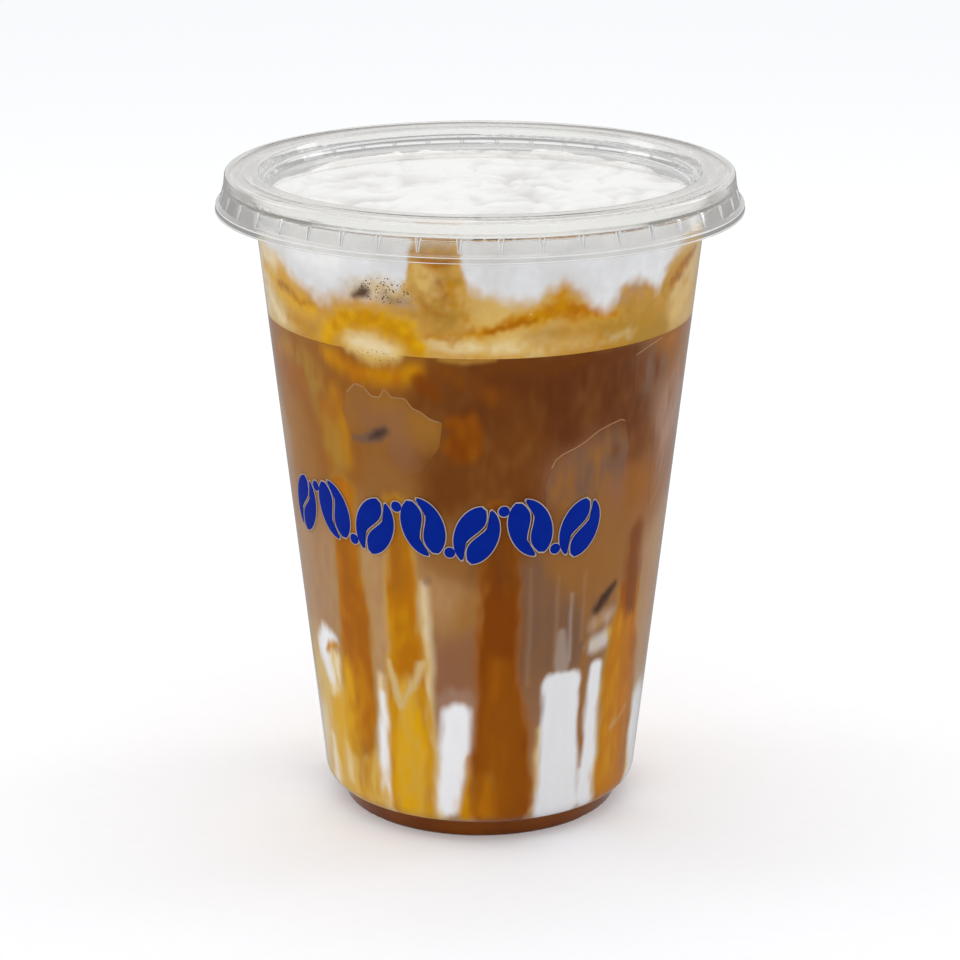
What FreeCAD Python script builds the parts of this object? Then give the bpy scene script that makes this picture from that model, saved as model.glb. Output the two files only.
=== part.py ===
"""Iced caramel latte in a clear takeaway cup with a flat, crimped lid.

Sizes are in millimetres. The origin is the middle of the foot's underside and +Z is up. The cup
and the lid are thin formed sheets turned about Z. The drink fills the cup in five layers that
meet at uneven seams: dark syrup in the foot, milk, coffee, caramel-stained cream and foam.
"""

import FreeCAD, Part
import math
import os

Vector = FreeCAD.Vector

# ---- Cup -----------------------------------------------------------------------------------
CUP_HEIGHT = 127.1         # table to the crown of the rim
CUP_SHEET = 0.5            # thickness of the cup's plastic
BASE_RADIUS = 30.55        # outside of the straight wall, carried down to the table
MOUTH_RADIUS = 44.3        # outside of the straight wall, carried up to the crown
HEEL_HEIGHT = 4.4          # where the wall's line meets the shoulder over the foot
HEEL_FILLET = 3.5
FOOT_HEIGHT = 3.6          # table to the root of the foot
FOOT_STEP = 2.4            # how far the foot stands in from the wall
FOOT_DRAFT = 1.3           # how much the foot narrows on its way down
FOOT_ROOT_FILLET = 0.5
FOOT_EDGE_FILLET = 0.9
FOOT_LAND = 2.2            # width of the ring that touches the table
PUSH_UP = 1.8              # rise of the floor's underside over the table
PUSH_UP_DRAFT = 0.7
PUSH_UP_FILLET = 0.8

# ---- Rolled rim of the cup -----------------------------------------------------------------
CURL_WIDTH = 4.3           # outside of the wall to the outside of the curl
CURL_HEIGHT = 3.5
CURL_RETURN = 1.7          # length of the sheet turned back in under the curl
CURL_INNER_FILLET = 1.8
CURL_OUTER_FILLET = 1.9
CURL_END_FILLET = 1.2

# ---- Lid -----------------------------------------------------------------------------------
LID_SHEET = 0.4            # thickness of the lid's plastic
LID_SEAT_GAP = 0.1         # lid's groove over the crown of the rim
PLUG_GAP = 0.8             # recess wall to the inside of the mouth
SKIRT_GAP = 0.35           # skirt to the outside of the curl
RECESS_DEPTH = 3.4         # top of the lid's ring down to its panel
RECESS_DRAFT = 1.8         # how much the recess narrows on its way down
LEDGE_DROP = 1.8           # top of the ring to the ledge in the recess wall
LEDGE_WIDTH = 0.8
GROOVE_DEPTH = 0.25        # seat groove, pressed down along the crown of the rim
GROOVE_WIDTH = 1.4
GROOVE_SLOPE = 0.4         # run of each side of the groove
SHOULDER_FILLET = 0.9
SHOULDER_DRAFT = 0.35      # how far the skirt leans out down to its crimps
SHOULDER_HEIGHT = 3.05     # top of the ring to the top of the crimped band
CRIMP_BAND_HEIGHT = 2.7
CRIMP_BAND_FLARE = 0.75
LIP_FLARE = 0.8            # step out from the crimped band to the lip
LIP_FLARE_DROP = 0.5
LIP_HEIGHT = 1.2
LIP_DRAFT = 0.1
LID_SOFT_FILLET = 0.3      # bends that open on the lid's underside
LID_BEND_FILLET = 0.6      # bends that close on the lid's underside

# ---- Crimps in the skirt -------------------------------------------------------------------
CRIMP_COUNT = 42
CRIMP_DEPTH = 0.45
CRIMP_HALF_WIDTH = 0.5     # at the open upper end
CRIMP_RIB = 0.28           # how far a crimp stands proud inside the skirt
CRIMP_OVERRUN = 0.3        # how far the cutting wedge reaches out of the sheet

# ---- Drink ---------------------------------------------------------------------------------
WALL_GAP = 0.05            # drink to plastic
SEAM_GAP = 0.08            # between two layers
SYRUP_DEPTH = 2.2          # over the floor of the cup
MILK_DEPTH = 33.0          # mean depth over the syrup
MILK_FINGER = 5.5          # height of the fingers that milk and coffee push into each other
COFFEE_BELOW_CROWN = 26.5  # crown of the rim down to the level top of the coffee
FOAM_DEPTH = 11.7          # highest foam down to the mean of its seam with the stained cream
CREAM_WAVE = 2.2
FOAM_CLEARANCE = 0.2       # highest foam to the lid's panel
FOAM_EDGE_DROP = 3.6       # fall of the foam from its middle to the wall
FOAM_LUMP = 1.1            # depth of the dips between curds of foam
SEAM_GRID = 15             # support points each way of a seam's surface

# ---- Sizes that follow ---------------------------------------------------------------------
CROWN = CUP_HEIGHT
WALL_SLOPE = (MOUTH_RADIUS - BASE_RADIUS) / CUP_HEIGHT
CURL_RADIUS = MOUTH_RADIUS + CURL_WIDTH
CURL_BOTTOM = CROWN - CURL_HEIGHT
MOUTH_INSIDE = MOUTH_RADIUS - CUP_SHEET
GROOVE_RADIUS = (MOUTH_RADIUS + CURL_RADIUS) / 2
RING_TOP = CROWN + LID_SEAT_GAP + LID_SHEET + GROOVE_DEPTH
PANEL_TOP = RING_TOP - RECESS_DEPTH
PANEL_UNDERSIDE = PANEL_TOP - LID_SHEET
RECESS_RADIUS = MOUTH_INSIDE - PLUG_GAP - LID_SHEET
SHOULDER_RADIUS = CURL_RADIUS + SKIRT_GAP + LID_SHEET - SHOULDER_DRAFT
BAND_TOP_RADIUS = SHOULDER_RADIUS + SHOULDER_DRAFT
BAND_TOP = RING_TOP - SHOULDER_HEIGHT
BAND_BOTTOM_RADIUS = BAND_TOP_RADIUS + CRIMP_BAND_FLARE
BAND_BOTTOM = BAND_TOP - CRIMP_BAND_HEIGHT
COFFEE_TOP = CROWN - COFFEE_BELOW_CROWN
SYRUP_TOP = PUSH_UP + CUP_SHEET + SYRUP_DEPTH
MILK_TOP = SYRUP_TOP + MILK_DEPTH
FOAM_TOP = PANEL_UNDERSIDE - FOAM_CLEARANCE
CREAM_TOP = FOAM_TOP - FOAM_DEPTH


def wall_radius(z):
    """Radius of the cup's outside at height z, on its straight wall."""
    return BASE_RADIUS + WALL_SLOPE * z


# ---- Profiles ------------------------------------------------------------------------------
# A profile is a list of corners (radius, height, fillet), from the axis outwards.

def heading(start, end):
    """Unit direction from one corner to the next."""
    run = end[0] - start[0]
    rise = end[1] - start[1]
    length = math.hypot(run, rise)
    return run / length, rise / length


def turn_sign(before, after):
    """+1 where the profile turns left, -1 where it turns right."""
    return math.copysign(1.0, before[0] * after[1] - before[1] * after[0])


def offset_profile(corners, distance):
    """The same profile moved sideways, to the left for a positive distance.

    Each bend keeps its centre, so its fillet grows or shrinks by the distance.
    """
    ways = [heading(a, b) for a, b in zip(corners, corners[1:])]
    first, last = corners[0], corners[-1]
    moved = [(first[0] - ways[0][1] * distance, first[1] + ways[0][0] * distance, 0)]
    for corner, before, after in zip(corners[1:], ways, ways[1:]):
        shift = distance / (1 + before[0] * after[0] + before[1] * after[1])
        radius = corner[0] - (before[1] + after[1]) * shift
        height = corner[1] + (before[0] + after[0]) * shift
        moved.append((radius, height, corner[2] - turn_sign(before, after) * distance))
    moved.append((last[0] - ways[-1][1] * distance, last[1] + ways[-1][0] * distance, 0))
    return moved


def profile_edges(corners):
    """Lines and tangent arcs along a profile."""
    edges = []
    here = Vector(corners[0][0], 0, corners[0][1])
    for before, corner, after in zip(corners, corners[1:], corners[2:]):
        point = Vector(corner[0], 0, corner[1])
        back = Vector(before[0], 0, before[1]) - point
        ahead = Vector(after[0], 0, after[1]) - point
        half_angle = back.getAngle(ahead) / 2
        back.normalize()
        ahead.normalize()
        middle = (back + ahead).normalize()
        reach = corner[2] / math.tan(half_angle)
        to_arc = corner[2] / math.sin(half_angle) - corner[2]
        arc_start = point + back * reach
        arc_end = point + ahead * reach
        edges.append(Part.LineSegment(here, arc_start).toShape())
        edges.append(Part.Arc(arc_start, point + middle * to_arc, arc_end).toShape())
        here = arc_end
    edges.append(Part.LineSegment(here, Vector(corners[-1][0], 0, corners[-1][1])).toShape())
    return edges


def turned(edges):
    """Closed profile turned about Z into a solid."""
    face = Part.Face(Part.Wire(Part.__sortEdges__(edges)))
    return face.revolve(Vector(0, 0, 0), Vector(0, 0, 1), 360)


def turned_sheet(corners, thickness):
    """Sheet of even thickness, to the left of the profile for a positive thickness."""
    other_side = offset_profile(corners, thickness)
    edges = profile_edges(corners) + profile_edges(other_side)
    for near, far in ((corners[0], other_side[0]), (corners[-1], other_side[-1])):
        edges.append(Part.makeLine(Vector(near[0], 0, near[1]), Vector(far[0], 0, far[1])))
    return turned(edges)


# ---- Cup -----------------------------------------------------------------------------------
def floor_and_wall(top):
    """Corners of the cup's outside, from the middle of its floor up the wall to a height."""
    foot_root = wall_radius(FOOT_HEIGHT) - FOOT_STEP
    foot_edge = foot_root - FOOT_DRAFT
    land_inside = foot_edge - FOOT_LAND
    return [
        (0, PUSH_UP, 0),
        (land_inside - PUSH_UP_DRAFT, PUSH_UP, PUSH_UP_FILLET),
        (land_inside, 0, PUSH_UP_FILLET),
        (foot_edge, 0, FOOT_EDGE_FILLET),
        (foot_root, FOOT_HEIGHT, FOOT_ROOT_FILLET),
        (wall_radius(HEEL_HEIGHT), HEEL_HEIGHT, HEEL_FILLET),
        (wall_radius(top), top, CURL_INNER_FILLET),
    ]


def cup():
    """Tapered cup with a stepped foot, a raised floor and an outward curl at the rim."""
    under_crown = CROWN - CUP_SHEET
    inside_of_curl = CURL_RADIUS - CUP_SHEET
    curl_end_height = CURL_BOTTOM + CUP_SHEET
    curl = [
        (inside_of_curl, under_crown, CURL_OUTER_FILLET),
        (inside_of_curl, curl_end_height, CURL_END_FILLET),
        (inside_of_curl - CURL_RETURN, curl_end_height, 0),
    ]
    return turned_sheet(floor_and_wall(under_crown) + curl, CUP_SHEET)


# ---- Lid -----------------------------------------------------------------------------------
def lid_corners():
    """Corners of the lid's upper side, from the middle of its panel to the edge of its lip."""
    recess_foot = RECESS_RADIUS - RECESS_DRAFT
    ledge_height = RING_TOP - LEDGE_DROP
    ledge_drift = (RECESS_DRAFT - LEDGE_WIDTH) / 2
    groove_floor = RING_TOP - GROOVE_DEPTH
    groove_half = GROOVE_WIDTH / 2
    lip_radius = BAND_BOTTOM_RADIUS + LIP_FLARE
    lip_top = BAND_BOTTOM - LIP_FLARE_DROP
    return [
        (0, PANEL_TOP, 0),
        (recess_foot, PANEL_TOP, LID_SOFT_FILLET),
        (recess_foot + ledge_drift, ledge_height, LID_BEND_FILLET),
        (recess_foot + ledge_drift + LEDGE_WIDTH, ledge_height, LID_SOFT_FILLET),
        (RECESS_RADIUS, RING_TOP, LID_BEND_FILLET),
        (GROOVE_RADIUS - groove_half - GROOVE_SLOPE, RING_TOP, LID_BEND_FILLET),
        (GROOVE_RADIUS - groove_half, groove_floor, LID_SOFT_FILLET),
        (GROOVE_RADIUS + groove_half, groove_floor, LID_SOFT_FILLET),
        (GROOVE_RADIUS + groove_half + GROOVE_SLOPE, RING_TOP, LID_BEND_FILLET),
        (SHOULDER_RADIUS, RING_TOP, SHOULDER_FILLET),
        (BAND_TOP_RADIUS, BAND_TOP, LID_SOFT_FILLET),
        (BAND_BOTTOM_RADIUS, BAND_BOTTOM, LID_SOFT_FILLET),
        (lip_radius, lip_top, LID_BEND_FILLET),
        (lip_radius + LIP_DRAFT, lip_top - LIP_HEIGHT, 0),
    ]


def crimp_wedge(angle, depth, half_width, top, bottom):
    """Slender wedge at one crimp: a triangle at its top that runs down to a point."""
    slope = CRIMP_BAND_FLARE / CRIMP_BAND_HEIGHT
    face_at_top = BAND_TOP_RADIUS - (top - BAND_TOP) * slope
    face_at_bottom = BAND_TOP_RADIUS + (BAND_TOP - bottom) * slope
    spread = half_width * (depth + CRIMP_OVERRUN) / depth
    root = Vector(face_at_top - depth, 0, top)
    left = Vector(face_at_top + CRIMP_OVERRUN, spread, top)
    right = Vector(face_at_top + CRIMP_OVERRUN, -spread, top)
    tip = Vector(face_at_bottom, 0, bottom)
    tip_out = Vector(face_at_bottom + CRIMP_OVERRUN, 0, bottom)
    triangles = [(root, left, right), (root, tip, left), (root, right, tip)]
    triangles += [(left, tip, tip_out), (right, tip_out, tip), (left, tip_out, right)]
    faces = [Part.Face(Part.makePolygon([a, b, c, a])) for a, b, c in triangles]
    wedge = Part.Solid(Part.Shell(faces))
    wedge.rotate(Vector(0, 0, 0), Vector(0, 0, 1), angle)
    return wedge


def crimp_ring(depth, half_width, top, bottom):
    """The same wedge at every crimp round the skirt."""
    pitch = 360 / CRIMP_COUNT
    angles = [pitch * index for index in range(CRIMP_COUNT)]
    return Part.makeCompound([crimp_wedge(a, depth, half_width, top, bottom) for a in angles])


def crimp_band(inner_reach):
    """Ring along the crimped band, from the skirt's outer face in by the reach."""
    face = [(BAND_TOP_RADIUS, BAND_TOP), (BAND_BOTTOM_RADIUS, BAND_BOTTOM)]
    ring = face + [(radius - inner_reach, height) for radius, height in reversed(face)]
    points = [Vector(radius, 0, height) for radius, height in ring + face[:1]]
    profile = Part.Face(Part.makePolygon(points))
    return profile.revolve(Vector(0, 0, 0), Vector(0, 0, 1), 360)


def lid():
    """Flat lid: sunk panel, grooved ring over the rim, and a skirt with pressed crimps."""
    sheet = turned_sheet(lid_corners(), -LID_SHEET)
    inner_reach = LID_SHEET + CRIMP_RIB
    widening = inner_reach / CRIMP_DEPTH
    ribs = crimp_ring(inner_reach, CRIMP_HALF_WIDTH * widening, BAND_TOP, BAND_BOTTOM)
    grooves = crimp_ring(CRIMP_DEPTH, CRIMP_HALF_WIDTH, BAND_TOP, BAND_BOTTOM)
    ribbed = sheet.fuse(ribs.common(crimp_band(inner_reach)))
    return ribbed.cut(grooves).removeSplitter()


# ---- Drink ---------------------------------------------------------------------------------
def ripple(turns, phase, x, y):
    """Wave round the cup, fading out towards the axis."""
    return math.sin(turns * math.atan2(y, x) + phase) * math.hypot(x, y) / MOUTH_RADIUS


def milk_seam(x, y):
    """Milk meets coffee in fingers, in step with the slow streaks round the cup."""
    fingers = 0.6 * ripple(7, 0.4, x, y) + 0.4 * ripple(4, 2.1, x, y) + 0.3 * ripple(11, 1.0, x, y)
    return MILK_TOP + MILK_FINGER * fingers * MOUTH_RADIUS / wall_radius(MILK_TOP)


def cream_seam(x, y):
    """Foam sinks unevenly into the stained cream."""
    waves = 0.7 * ripple(5, 1.3, x, y) + 0.5 * ripple(3, 0.2, x, y) + 0.35 * ripple(9, 2.6, x, y)
    return CREAM_TOP + CREAM_WAVE * waves


def foam_surface(x, y):
    """Low mound of curds that falls away to the wall."""
    fall = FOAM_EDGE_DROP * (math.hypot(x, y) / MOUTH_RADIUS) ** 4
    curds = math.sin(0.42 * x + 1.1 * math.sin(0.23 * y)) * math.sin(0.47 * y + 0.9 * math.sin(0.31 * x))
    return FOAM_TOP - fall - FOAM_LUMP * (0.5 - 0.5 * curds)


def above(height_at, lift):
    """Everything over a seam: its surface, raised by the lift and carried up past the rim."""
    reach = 1.15 * MOUTH_RADIUS
    steps = [reach * (2 * index / (SEAM_GRID - 1) - 1) for index in range(SEAM_GRID)]
    surface = Part.BSplineSurface()
    surface.interpolate([[Vector(x, y, height_at(x, y) + lift) for y in steps] for x in steps])
    return surface.toShape().extrude(Vector(0, 0, CROWN))


def drink_volume():
    """The inside of the cup up to the lid's panel, clear of the plastic all round."""
    side = offset_profile(floor_and_wall(PANEL_UNDERSIDE), CUP_SHEET + WALL_GAP)
    floor = Vector(side[0][0], 0, side[0][1])
    brim = Vector(side[-1][0], 0, side[-1][1])
    brim_middle = Vector(0, 0, brim.z)
    edges = profile_edges(side) + [Part.makeLine(brim, brim_middle), Part.makeLine(brim_middle, floor)]
    return turned(edges)


def drink():
    """The five layers, from the bottom up."""
    seams = {
        "syrup": lambda x, y: SYRUP_TOP,
        "milk": milk_seam,
        "coffee": lambda x, y: COFFEE_TOP,
        "caramel_cream": cream_seam,
        "foam": foam_surface,
    }
    layers = {}
    rest = drink_volume()
    for name, top in seams.items():
        layers[name] = rest.cut(above(top, 0))
        rest = rest.common(above(top, SEAM_GAP))
    return layers


def main():
    """Write every piece to its own file."""
    os.makedirs("parts", exist_ok=True)
    pieces = {"cup": cup(), "lid": lid()}
    pieces.update(drink())
    for name, shape in pieces.items():
        print(name, "solids:", len(shape.Solids), "volume:", round(shape.Volume))
        shape.exportStep("parts/" + name + ".step")


main()
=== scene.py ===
"""Looks of an iced caramel latte in a clear cup with a flat crimped lid.

Lengths are in metres unless a name ends in _mm, and angles round the cup are in degrees: 0 faces
the front, -Y, and positive angles turn towards +X. The walls and the drink's levels are measured on
the frame. Strokes, ice, bubbles and print are placed by written angles and heights.
"""

from __future__ import annotations

import logging
import math
import random
from dataclasses import dataclass, field, replace
from enum import Enum

import bmesh
import bpy
import numpy as np
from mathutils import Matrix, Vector, noise
from mathutils.bvhtree import BVHTree

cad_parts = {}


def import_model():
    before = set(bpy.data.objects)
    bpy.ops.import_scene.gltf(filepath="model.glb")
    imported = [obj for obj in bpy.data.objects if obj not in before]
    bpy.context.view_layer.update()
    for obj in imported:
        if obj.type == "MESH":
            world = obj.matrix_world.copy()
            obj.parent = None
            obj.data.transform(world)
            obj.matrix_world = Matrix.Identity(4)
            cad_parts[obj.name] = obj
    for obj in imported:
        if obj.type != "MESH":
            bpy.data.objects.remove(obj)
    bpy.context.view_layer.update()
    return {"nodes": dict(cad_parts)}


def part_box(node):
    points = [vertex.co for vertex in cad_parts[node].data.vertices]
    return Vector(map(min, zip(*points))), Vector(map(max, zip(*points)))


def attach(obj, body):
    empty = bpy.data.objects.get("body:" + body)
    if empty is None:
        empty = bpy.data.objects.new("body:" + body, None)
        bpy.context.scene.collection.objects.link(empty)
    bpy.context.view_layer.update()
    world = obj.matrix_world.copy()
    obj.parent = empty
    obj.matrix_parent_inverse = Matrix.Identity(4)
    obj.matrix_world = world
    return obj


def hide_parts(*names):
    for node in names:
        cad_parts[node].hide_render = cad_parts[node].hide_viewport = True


LOG = logging.getLogger("latte")
MM = 0.001
BODY = "root"
COFFEE_LINE_MM = 100.6
NOISE_SEED = 7

# Cells of the noise that breaks up painted edges, to the metre.
COARSE_CELLS = 150
SMALL_CELLS = 520
TINY_CELLS = 900


# ---- Colours -------------------------------------------------------------------------------
class Tone(Enum):
    """Colours of the drink in even light, in hex. The foam's crevices and side carry painted shade, and the
    pink latte also serves as a painted sheen.
    """

    FOAM = "f9f8f5"
    # Painted shade on the foam's side against the wall, greyer than its top.
    FOAM_SIDE_SHADE = "d9d8d7"
    # Painted shade in the crevices between the foam's curds.
    CREVICE_SHADE = "c3c0ba"
    MILK = "f1f1f3"
    MILK_SHADE = "e4e4e5"
    GREY_MILK = "c5bbb3"
    PALE_CREAM = "ebd7ae"
    BUTTER = "dcb86a"
    CREAM = "d0b175"
    HONEY = "d5a53c"
    STAIN = "c39040"
    OLIVE = "aa812f"
    YOLK = "dca408"
    GOLD = "c68600"
    AMBER = "b66e00"
    DARK_AMBER = "a45c00"
    RUST = "93591a"
    SIENNA = "8d4b00"
    UMBER = "7e3d00"
    FAWN = "ba9062"
    TAN = "ac855f"
    WARM_LATTE = "9c6829"
    LATTE = "94622e"
    # Also painted as a sheen down the right side of the coffee.
    PINK_LATTE_AND_SHEEN = "a27e68"
    MAUVE = "8e6044"
    SMOKE = "785742"
    COCOA = "6f3a0c"
    ESPRESSO = "5f2f0c"
    MOLASSES = "6f3500"
    SHADOW = "3b2822"

    def linear(self) -> np.ndarray:
        """Linear red, green and blue."""
        return hex_to_linear(self.value)


def hex_to_linear(code: str) -> np.ndarray:
    """Turn a hex colour into linear light.

    Args:
        code: Six hex digits.

    Returns:
        Red, green and blue from 0 to 1.
    """
    display = np.array([int(code[i:i + 2], 16) for i in (0, 2, 4)]) / 255
    return np.where(display <= 0.04045, display / 12.92, ((display + 0.055) / 1.055) ** 2.4)


def rgba(code: str) -> tuple[float, float, float, float]:
    """Opaque linear colour for a shader socket, from six hex digits."""
    red, green, blue = hex_to_linear(code)
    return float(red), float(green), float(blue), 1.0


# ---- Node trees ----------------------------------------------------------------------------
class NodeBuilder:
    """Adds and links nodes in one tree, for shaders and for geometry."""

    def __init__(self, tree: bpy.types.NodeTree) -> None:
        """Start on an emptied node tree.

        Args:
            tree: The tree to fill.
        """
        self.tree = tree
        self.tree.nodes.clear()

    def node(self, kind: str, inputs: dict | None = None, **settings: object) -> bpy.types.Node:
        """Add a node.

        Args:
            kind: The node's Blender type.
            inputs: Socket name or number to a plain value or to another node's output.
            **settings: Properties of the node.

        Returns:
            The new node.
        """
        made = self.tree.nodes.new(kind)
        for name, value in settings.items():
            setattr(made, name, value)
        for key, value in (inputs or {}).items():
            if isinstance(value, bpy.types.NodeSocket):
                self.tree.links.new(value, made.inputs[key])
            else:
                made.inputs[key].default_value = value
        return made

    def math(
        self,
        operation: str,
        first: float | bpy.types.NodeSocket,
        second: float | bpy.types.NodeSocket = 0.0,
        third: float | bpy.types.NodeSocket = 0.0,
    ) -> bpy.types.NodeSocket:
        """Add a Math node.

        Args:
            operation: The Math node's operation.
            first: Value or socket.
            second: Value or socket.
            third: Value or socket.

        Returns:
            The node's output.
        """
        made = self.node("ShaderNodeMath", {0: first, 1: second, 2: third}, operation=operation)
        return made.outputs[0]


class Shader(NodeBuilder):
    """A material or a shader group under construction."""

    def mix(
        self,
        share: float | bpy.types.NodeSocket,
        first: tuple | bpy.types.NodeSocket,
        second: tuple | bpy.types.NodeSocket,
        blend: str = "MIX",
    ) -> bpy.types.NodeSocket:
        """Mix two colours.

        Args:
            share: How much of the second colour, value or socket.
            first: Colour or socket.
            second: Colour or socket.
            blend: The blend type.

        Returns:
            The mixed colour.
        """
        inputs = {0: share, 6: first, 7: second}
        return self.node("ShaderNodeMix", inputs, data_type="RGBA", blend_type=blend).outputs[2]

    def noise(self, place: bpy.types.NodeSocket, scale: float, detail: float = 3.0) -> bpy.types.NodeSocket:
        """Noise from 0 to 1.

        Args:
            place: Position socket.
            scale: Cells to the metre.
            detail: Octaves.

        Returns:
            The noise value.
        """
        inputs = {"Vector": place, "Scale": scale, "Detail": detail}
        return self.node("ShaderNodeTexNoise", inputs).outputs["Fac"]

    def place(self, stretch: tuple[float, float, float] = (1, 1, 1)) -> bpy.types.NodeSocket:
        """Object coordinates, scaled.

        Args:
            stretch: Scale along each axis.

        Returns:
            The scaled position.
        """
        origin = self.node("ShaderNodeTexCoord").outputs["Object"]
        return self.node("ShaderNodeMapping", {"Vector": origin, "Scale": stretch}).outputs["Vector"]


def new_material(name: str) -> tuple[bpy.types.Material, Shader]:
    """Make an empty node material.

    Args:
        name: The material's name.

    Returns:
        The material and its shader builder.
    """
    material = bpy.data.materials.new(name)
    material.use_nodes = True
    return material, Shader(material.node_tree)


def ripple_group() -> bpy.types.NodeTree:
    """Make the group that gives slow waves and fine grain to anything formed or poured.

    Returns:
        A group with inputs Wave Scale, Grain Scale and Grain, and outputs Waves, Grain and Height.
    """
    group = bpy.data.node_groups.new("ripple", "ShaderNodeTree")
    for title, value in (("Wave Scale", 60.0), ("Grain Scale", 900.0), ("Grain", 0.3)):
        socket = group.interface.new_socket(title, in_out="INPUT", socket_type="NodeSocketFloat")
        socket.default_value = value
    for title in ("Waves", "Grain", "Height"):
        group.interface.new_socket(title, in_out="OUTPUT", socket_type="NodeSocketFloat")
    shader = Shader(group)
    taken = shader.node("NodeGroupInput").outputs
    place = shader.place()
    waves = shader.noise(place, taken["Wave Scale"], 2.0)
    grain = shader.noise(place, taken["Grain Scale"], 2.0)
    height = shader.math("MULTIPLY_ADD", grain, taken["Grain"], waves)
    shader.node("NodeGroupOutput", {"Waves": waves, "Grain": grain, "Height": height})
    return group


# ---- Finishes ------------------------------------------------------------------------------
@dataclass(frozen=True)
class ClearPlastic:
    """Clear formed plastic with soft waves from forming."""

    name: str
    tint: str = "fafbfc"
    ring_tint: str = "fafbfc"
    ring_from: float = 42.0 * MM
    ring_rougher: float = 0.0
    deepest: float = 4.0
    gloss: str = "ffffff"
    roughness: float = 0.03
    wave_scale: float = 55.0
    wave_depth: float = 0.006

    def build(self, ripple: bpy.types.NodeTree) -> bpy.types.Material:
        """Make the material.

        Args:
            ripple: The shared group of waves and grain.

        Returns:
            The finished material.
        """
        material, shader = new_material(self.name)
        inputs = {"Wave Scale": self.wave_scale, "Grain": 0.0}
        waves = shader.node("ShaderNodeGroup", node_tree=ripple)
        for title, value in inputs.items():
            waves.inputs[title].default_value = value
        bump = shader.node(
            "ShaderNodeBump",
            {"Height": waves.outputs["Height"], "Strength": self.wave_depth, "Distance": 0.002},
        )
        reach = shader.node("ShaderNodeVectorMath", {0: shader.place((1, 1, 0))}, operation="LENGTH")
        span = {0: reach.outputs["Value"], 1: self.ring_from, 2: self.ring_from + MM, 3: 0.0, 4: 1.0}
        ring = shader.node("ShaderNodeMapRange", span).outputs[0]
        uneven = shader.math("MULTIPLY_ADD", waves.outputs["Waves"], 0.03, self.roughness - 0.015)
        uneven = shader.math("MULTIPLY_ADD", ring, self.ring_rougher, uneven)
        plastic = shader.node(
            "ShaderNodeBsdfPrincipled",
            {
                "Base Color": shader.mix(ring, rgba(self.tint), rgba(self.ring_tint)),
                "Roughness": uneven,
                "IOR": 1.46,
                "Specular Tint": rgba(self.gloss),
                "Transmission Weight": 1.0,
                "Normal": bump.outputs["Normal"],
            },
        )
        clear = shader.node("ShaderNodeBsdfTransparent", {"Color": rgba("ffffff")})
        path = shader.node("ShaderNodeLightPath")
        soft = shader.math("MAXIMUM", path.outputs["Is Shadow Ray"], path.outputs["Is Diffuse Ray"])
        deep = shader.math("GREATER_THAN", path.outputs["Ray Depth"], self.deepest)
        soft = shader.math("MAXIMUM", soft, deep)
        both = shader.node("ShaderNodeMixShader", {0: soft, 1: plastic.outputs[0], 2: clear.outputs[0]})
        shader.node("ShaderNodeOutputMaterial", {"Surface": both.outputs[0]})
        return material


@dataclass(frozen=True)
class Poured:
    """Liquid or foam: tones from the piece's tint, broken up by streaks and fine grain."""

    name: str
    streak: float = 0.10
    grain: float = 0.02
    roughness: float = 0.4
    relief: float = 0.0

    def build(self, ripple: bpy.types.NodeTree) -> bpy.types.Material:
        """Make the material.

        Args:
            ripple: The shared group of waves and grain.

        Returns:
            The finished material.
        """
        material, shader = new_material(self.name)
        tint = shader.node("ShaderNodeAttribute", attribute_name="tint").outputs["Color"]
        runs = shader.noise(shader.place((1.0, 1.0, 0.14)), 520.0, 4.0)
        waves = shader.node("ShaderNodeGroup", node_tree=ripple)
        waves.inputs["Wave Scale"].default_value = 230.0
        waves.inputs["Grain Scale"].default_value = 2400.0
        lift = shader.math("MULTIPLY_ADD", runs, self.streak, 1.0 - self.streak / 2)
        blots = shader.math("MULTIPLY_ADD", waves.outputs["Waves"], self.grain, -self.grain / 2)
        specks = shader.math("MULTIPLY_ADD", waves.outputs["Grain"], self.grain, -self.grain / 2)
        level = shader.math("ADD", shader.math("ADD", lift, blots), specks)
        grey = shader.node("ShaderNodeCombineColor", {0: level, 1: level, 2: level})
        shade = shader.mix(1.0, tint, grey.outputs[0], "MULTIPLY")
        bump = shader.node(
            "ShaderNodeBump",
            {"Height": waves.outputs["Height"], "Strength": self.relief, "Distance": 0.0006},
        )
        liquid = shader.node(
            "ShaderNodeBsdfPrincipled",
            {
                "Base Color": shade,
                "Roughness": self.roughness,
                "Specular IOR Level": 0.03,
                "Normal": bump.outputs["Normal"],
            },
        )
        shader.node("ShaderNodeOutputMaterial", {"Surface": liquid.outputs[0]})
        return material


@dataclass(frozen=True)
class Mottled:
    """Opaque surface with a faint mottle, for the print, the bubbles, and the painted highlights and
    painted shade on the crimps' edges and the lid's lip.
    """

    name: str
    dark: str
    light: str
    roughness: float = 0.45

    def build(self, ripple: bpy.types.NodeTree) -> bpy.types.Material:
        """Make the material.

        Args:
            ripple: The shared group of waves and grain.

        Returns:
            The finished material.
        """
        material, shader = new_material(self.name)
        waves = shader.node("ShaderNodeGroup", node_tree=ripple)
        waves.inputs["Wave Scale"].default_value = 320.0
        waves.inputs["Grain Scale"].default_value = 3000.0
        colour = shader.mix(waves.outputs["Height"], rgba(self.dark), rgba(self.light))
        rough = shader.math("MULTIPLY_ADD", waves.outputs["Grain"], 0.1, self.roughness - 0.05)
        inputs = {"Base Color": colour, "Roughness": rough, "Specular IOR Level": 0.04}
        surface = shader.node("ShaderNodeBsdfPrincipled", inputs)
        shader.node("ShaderNodeOutputMaterial", {"Surface": surface.outputs[0]})
        return material


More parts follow.
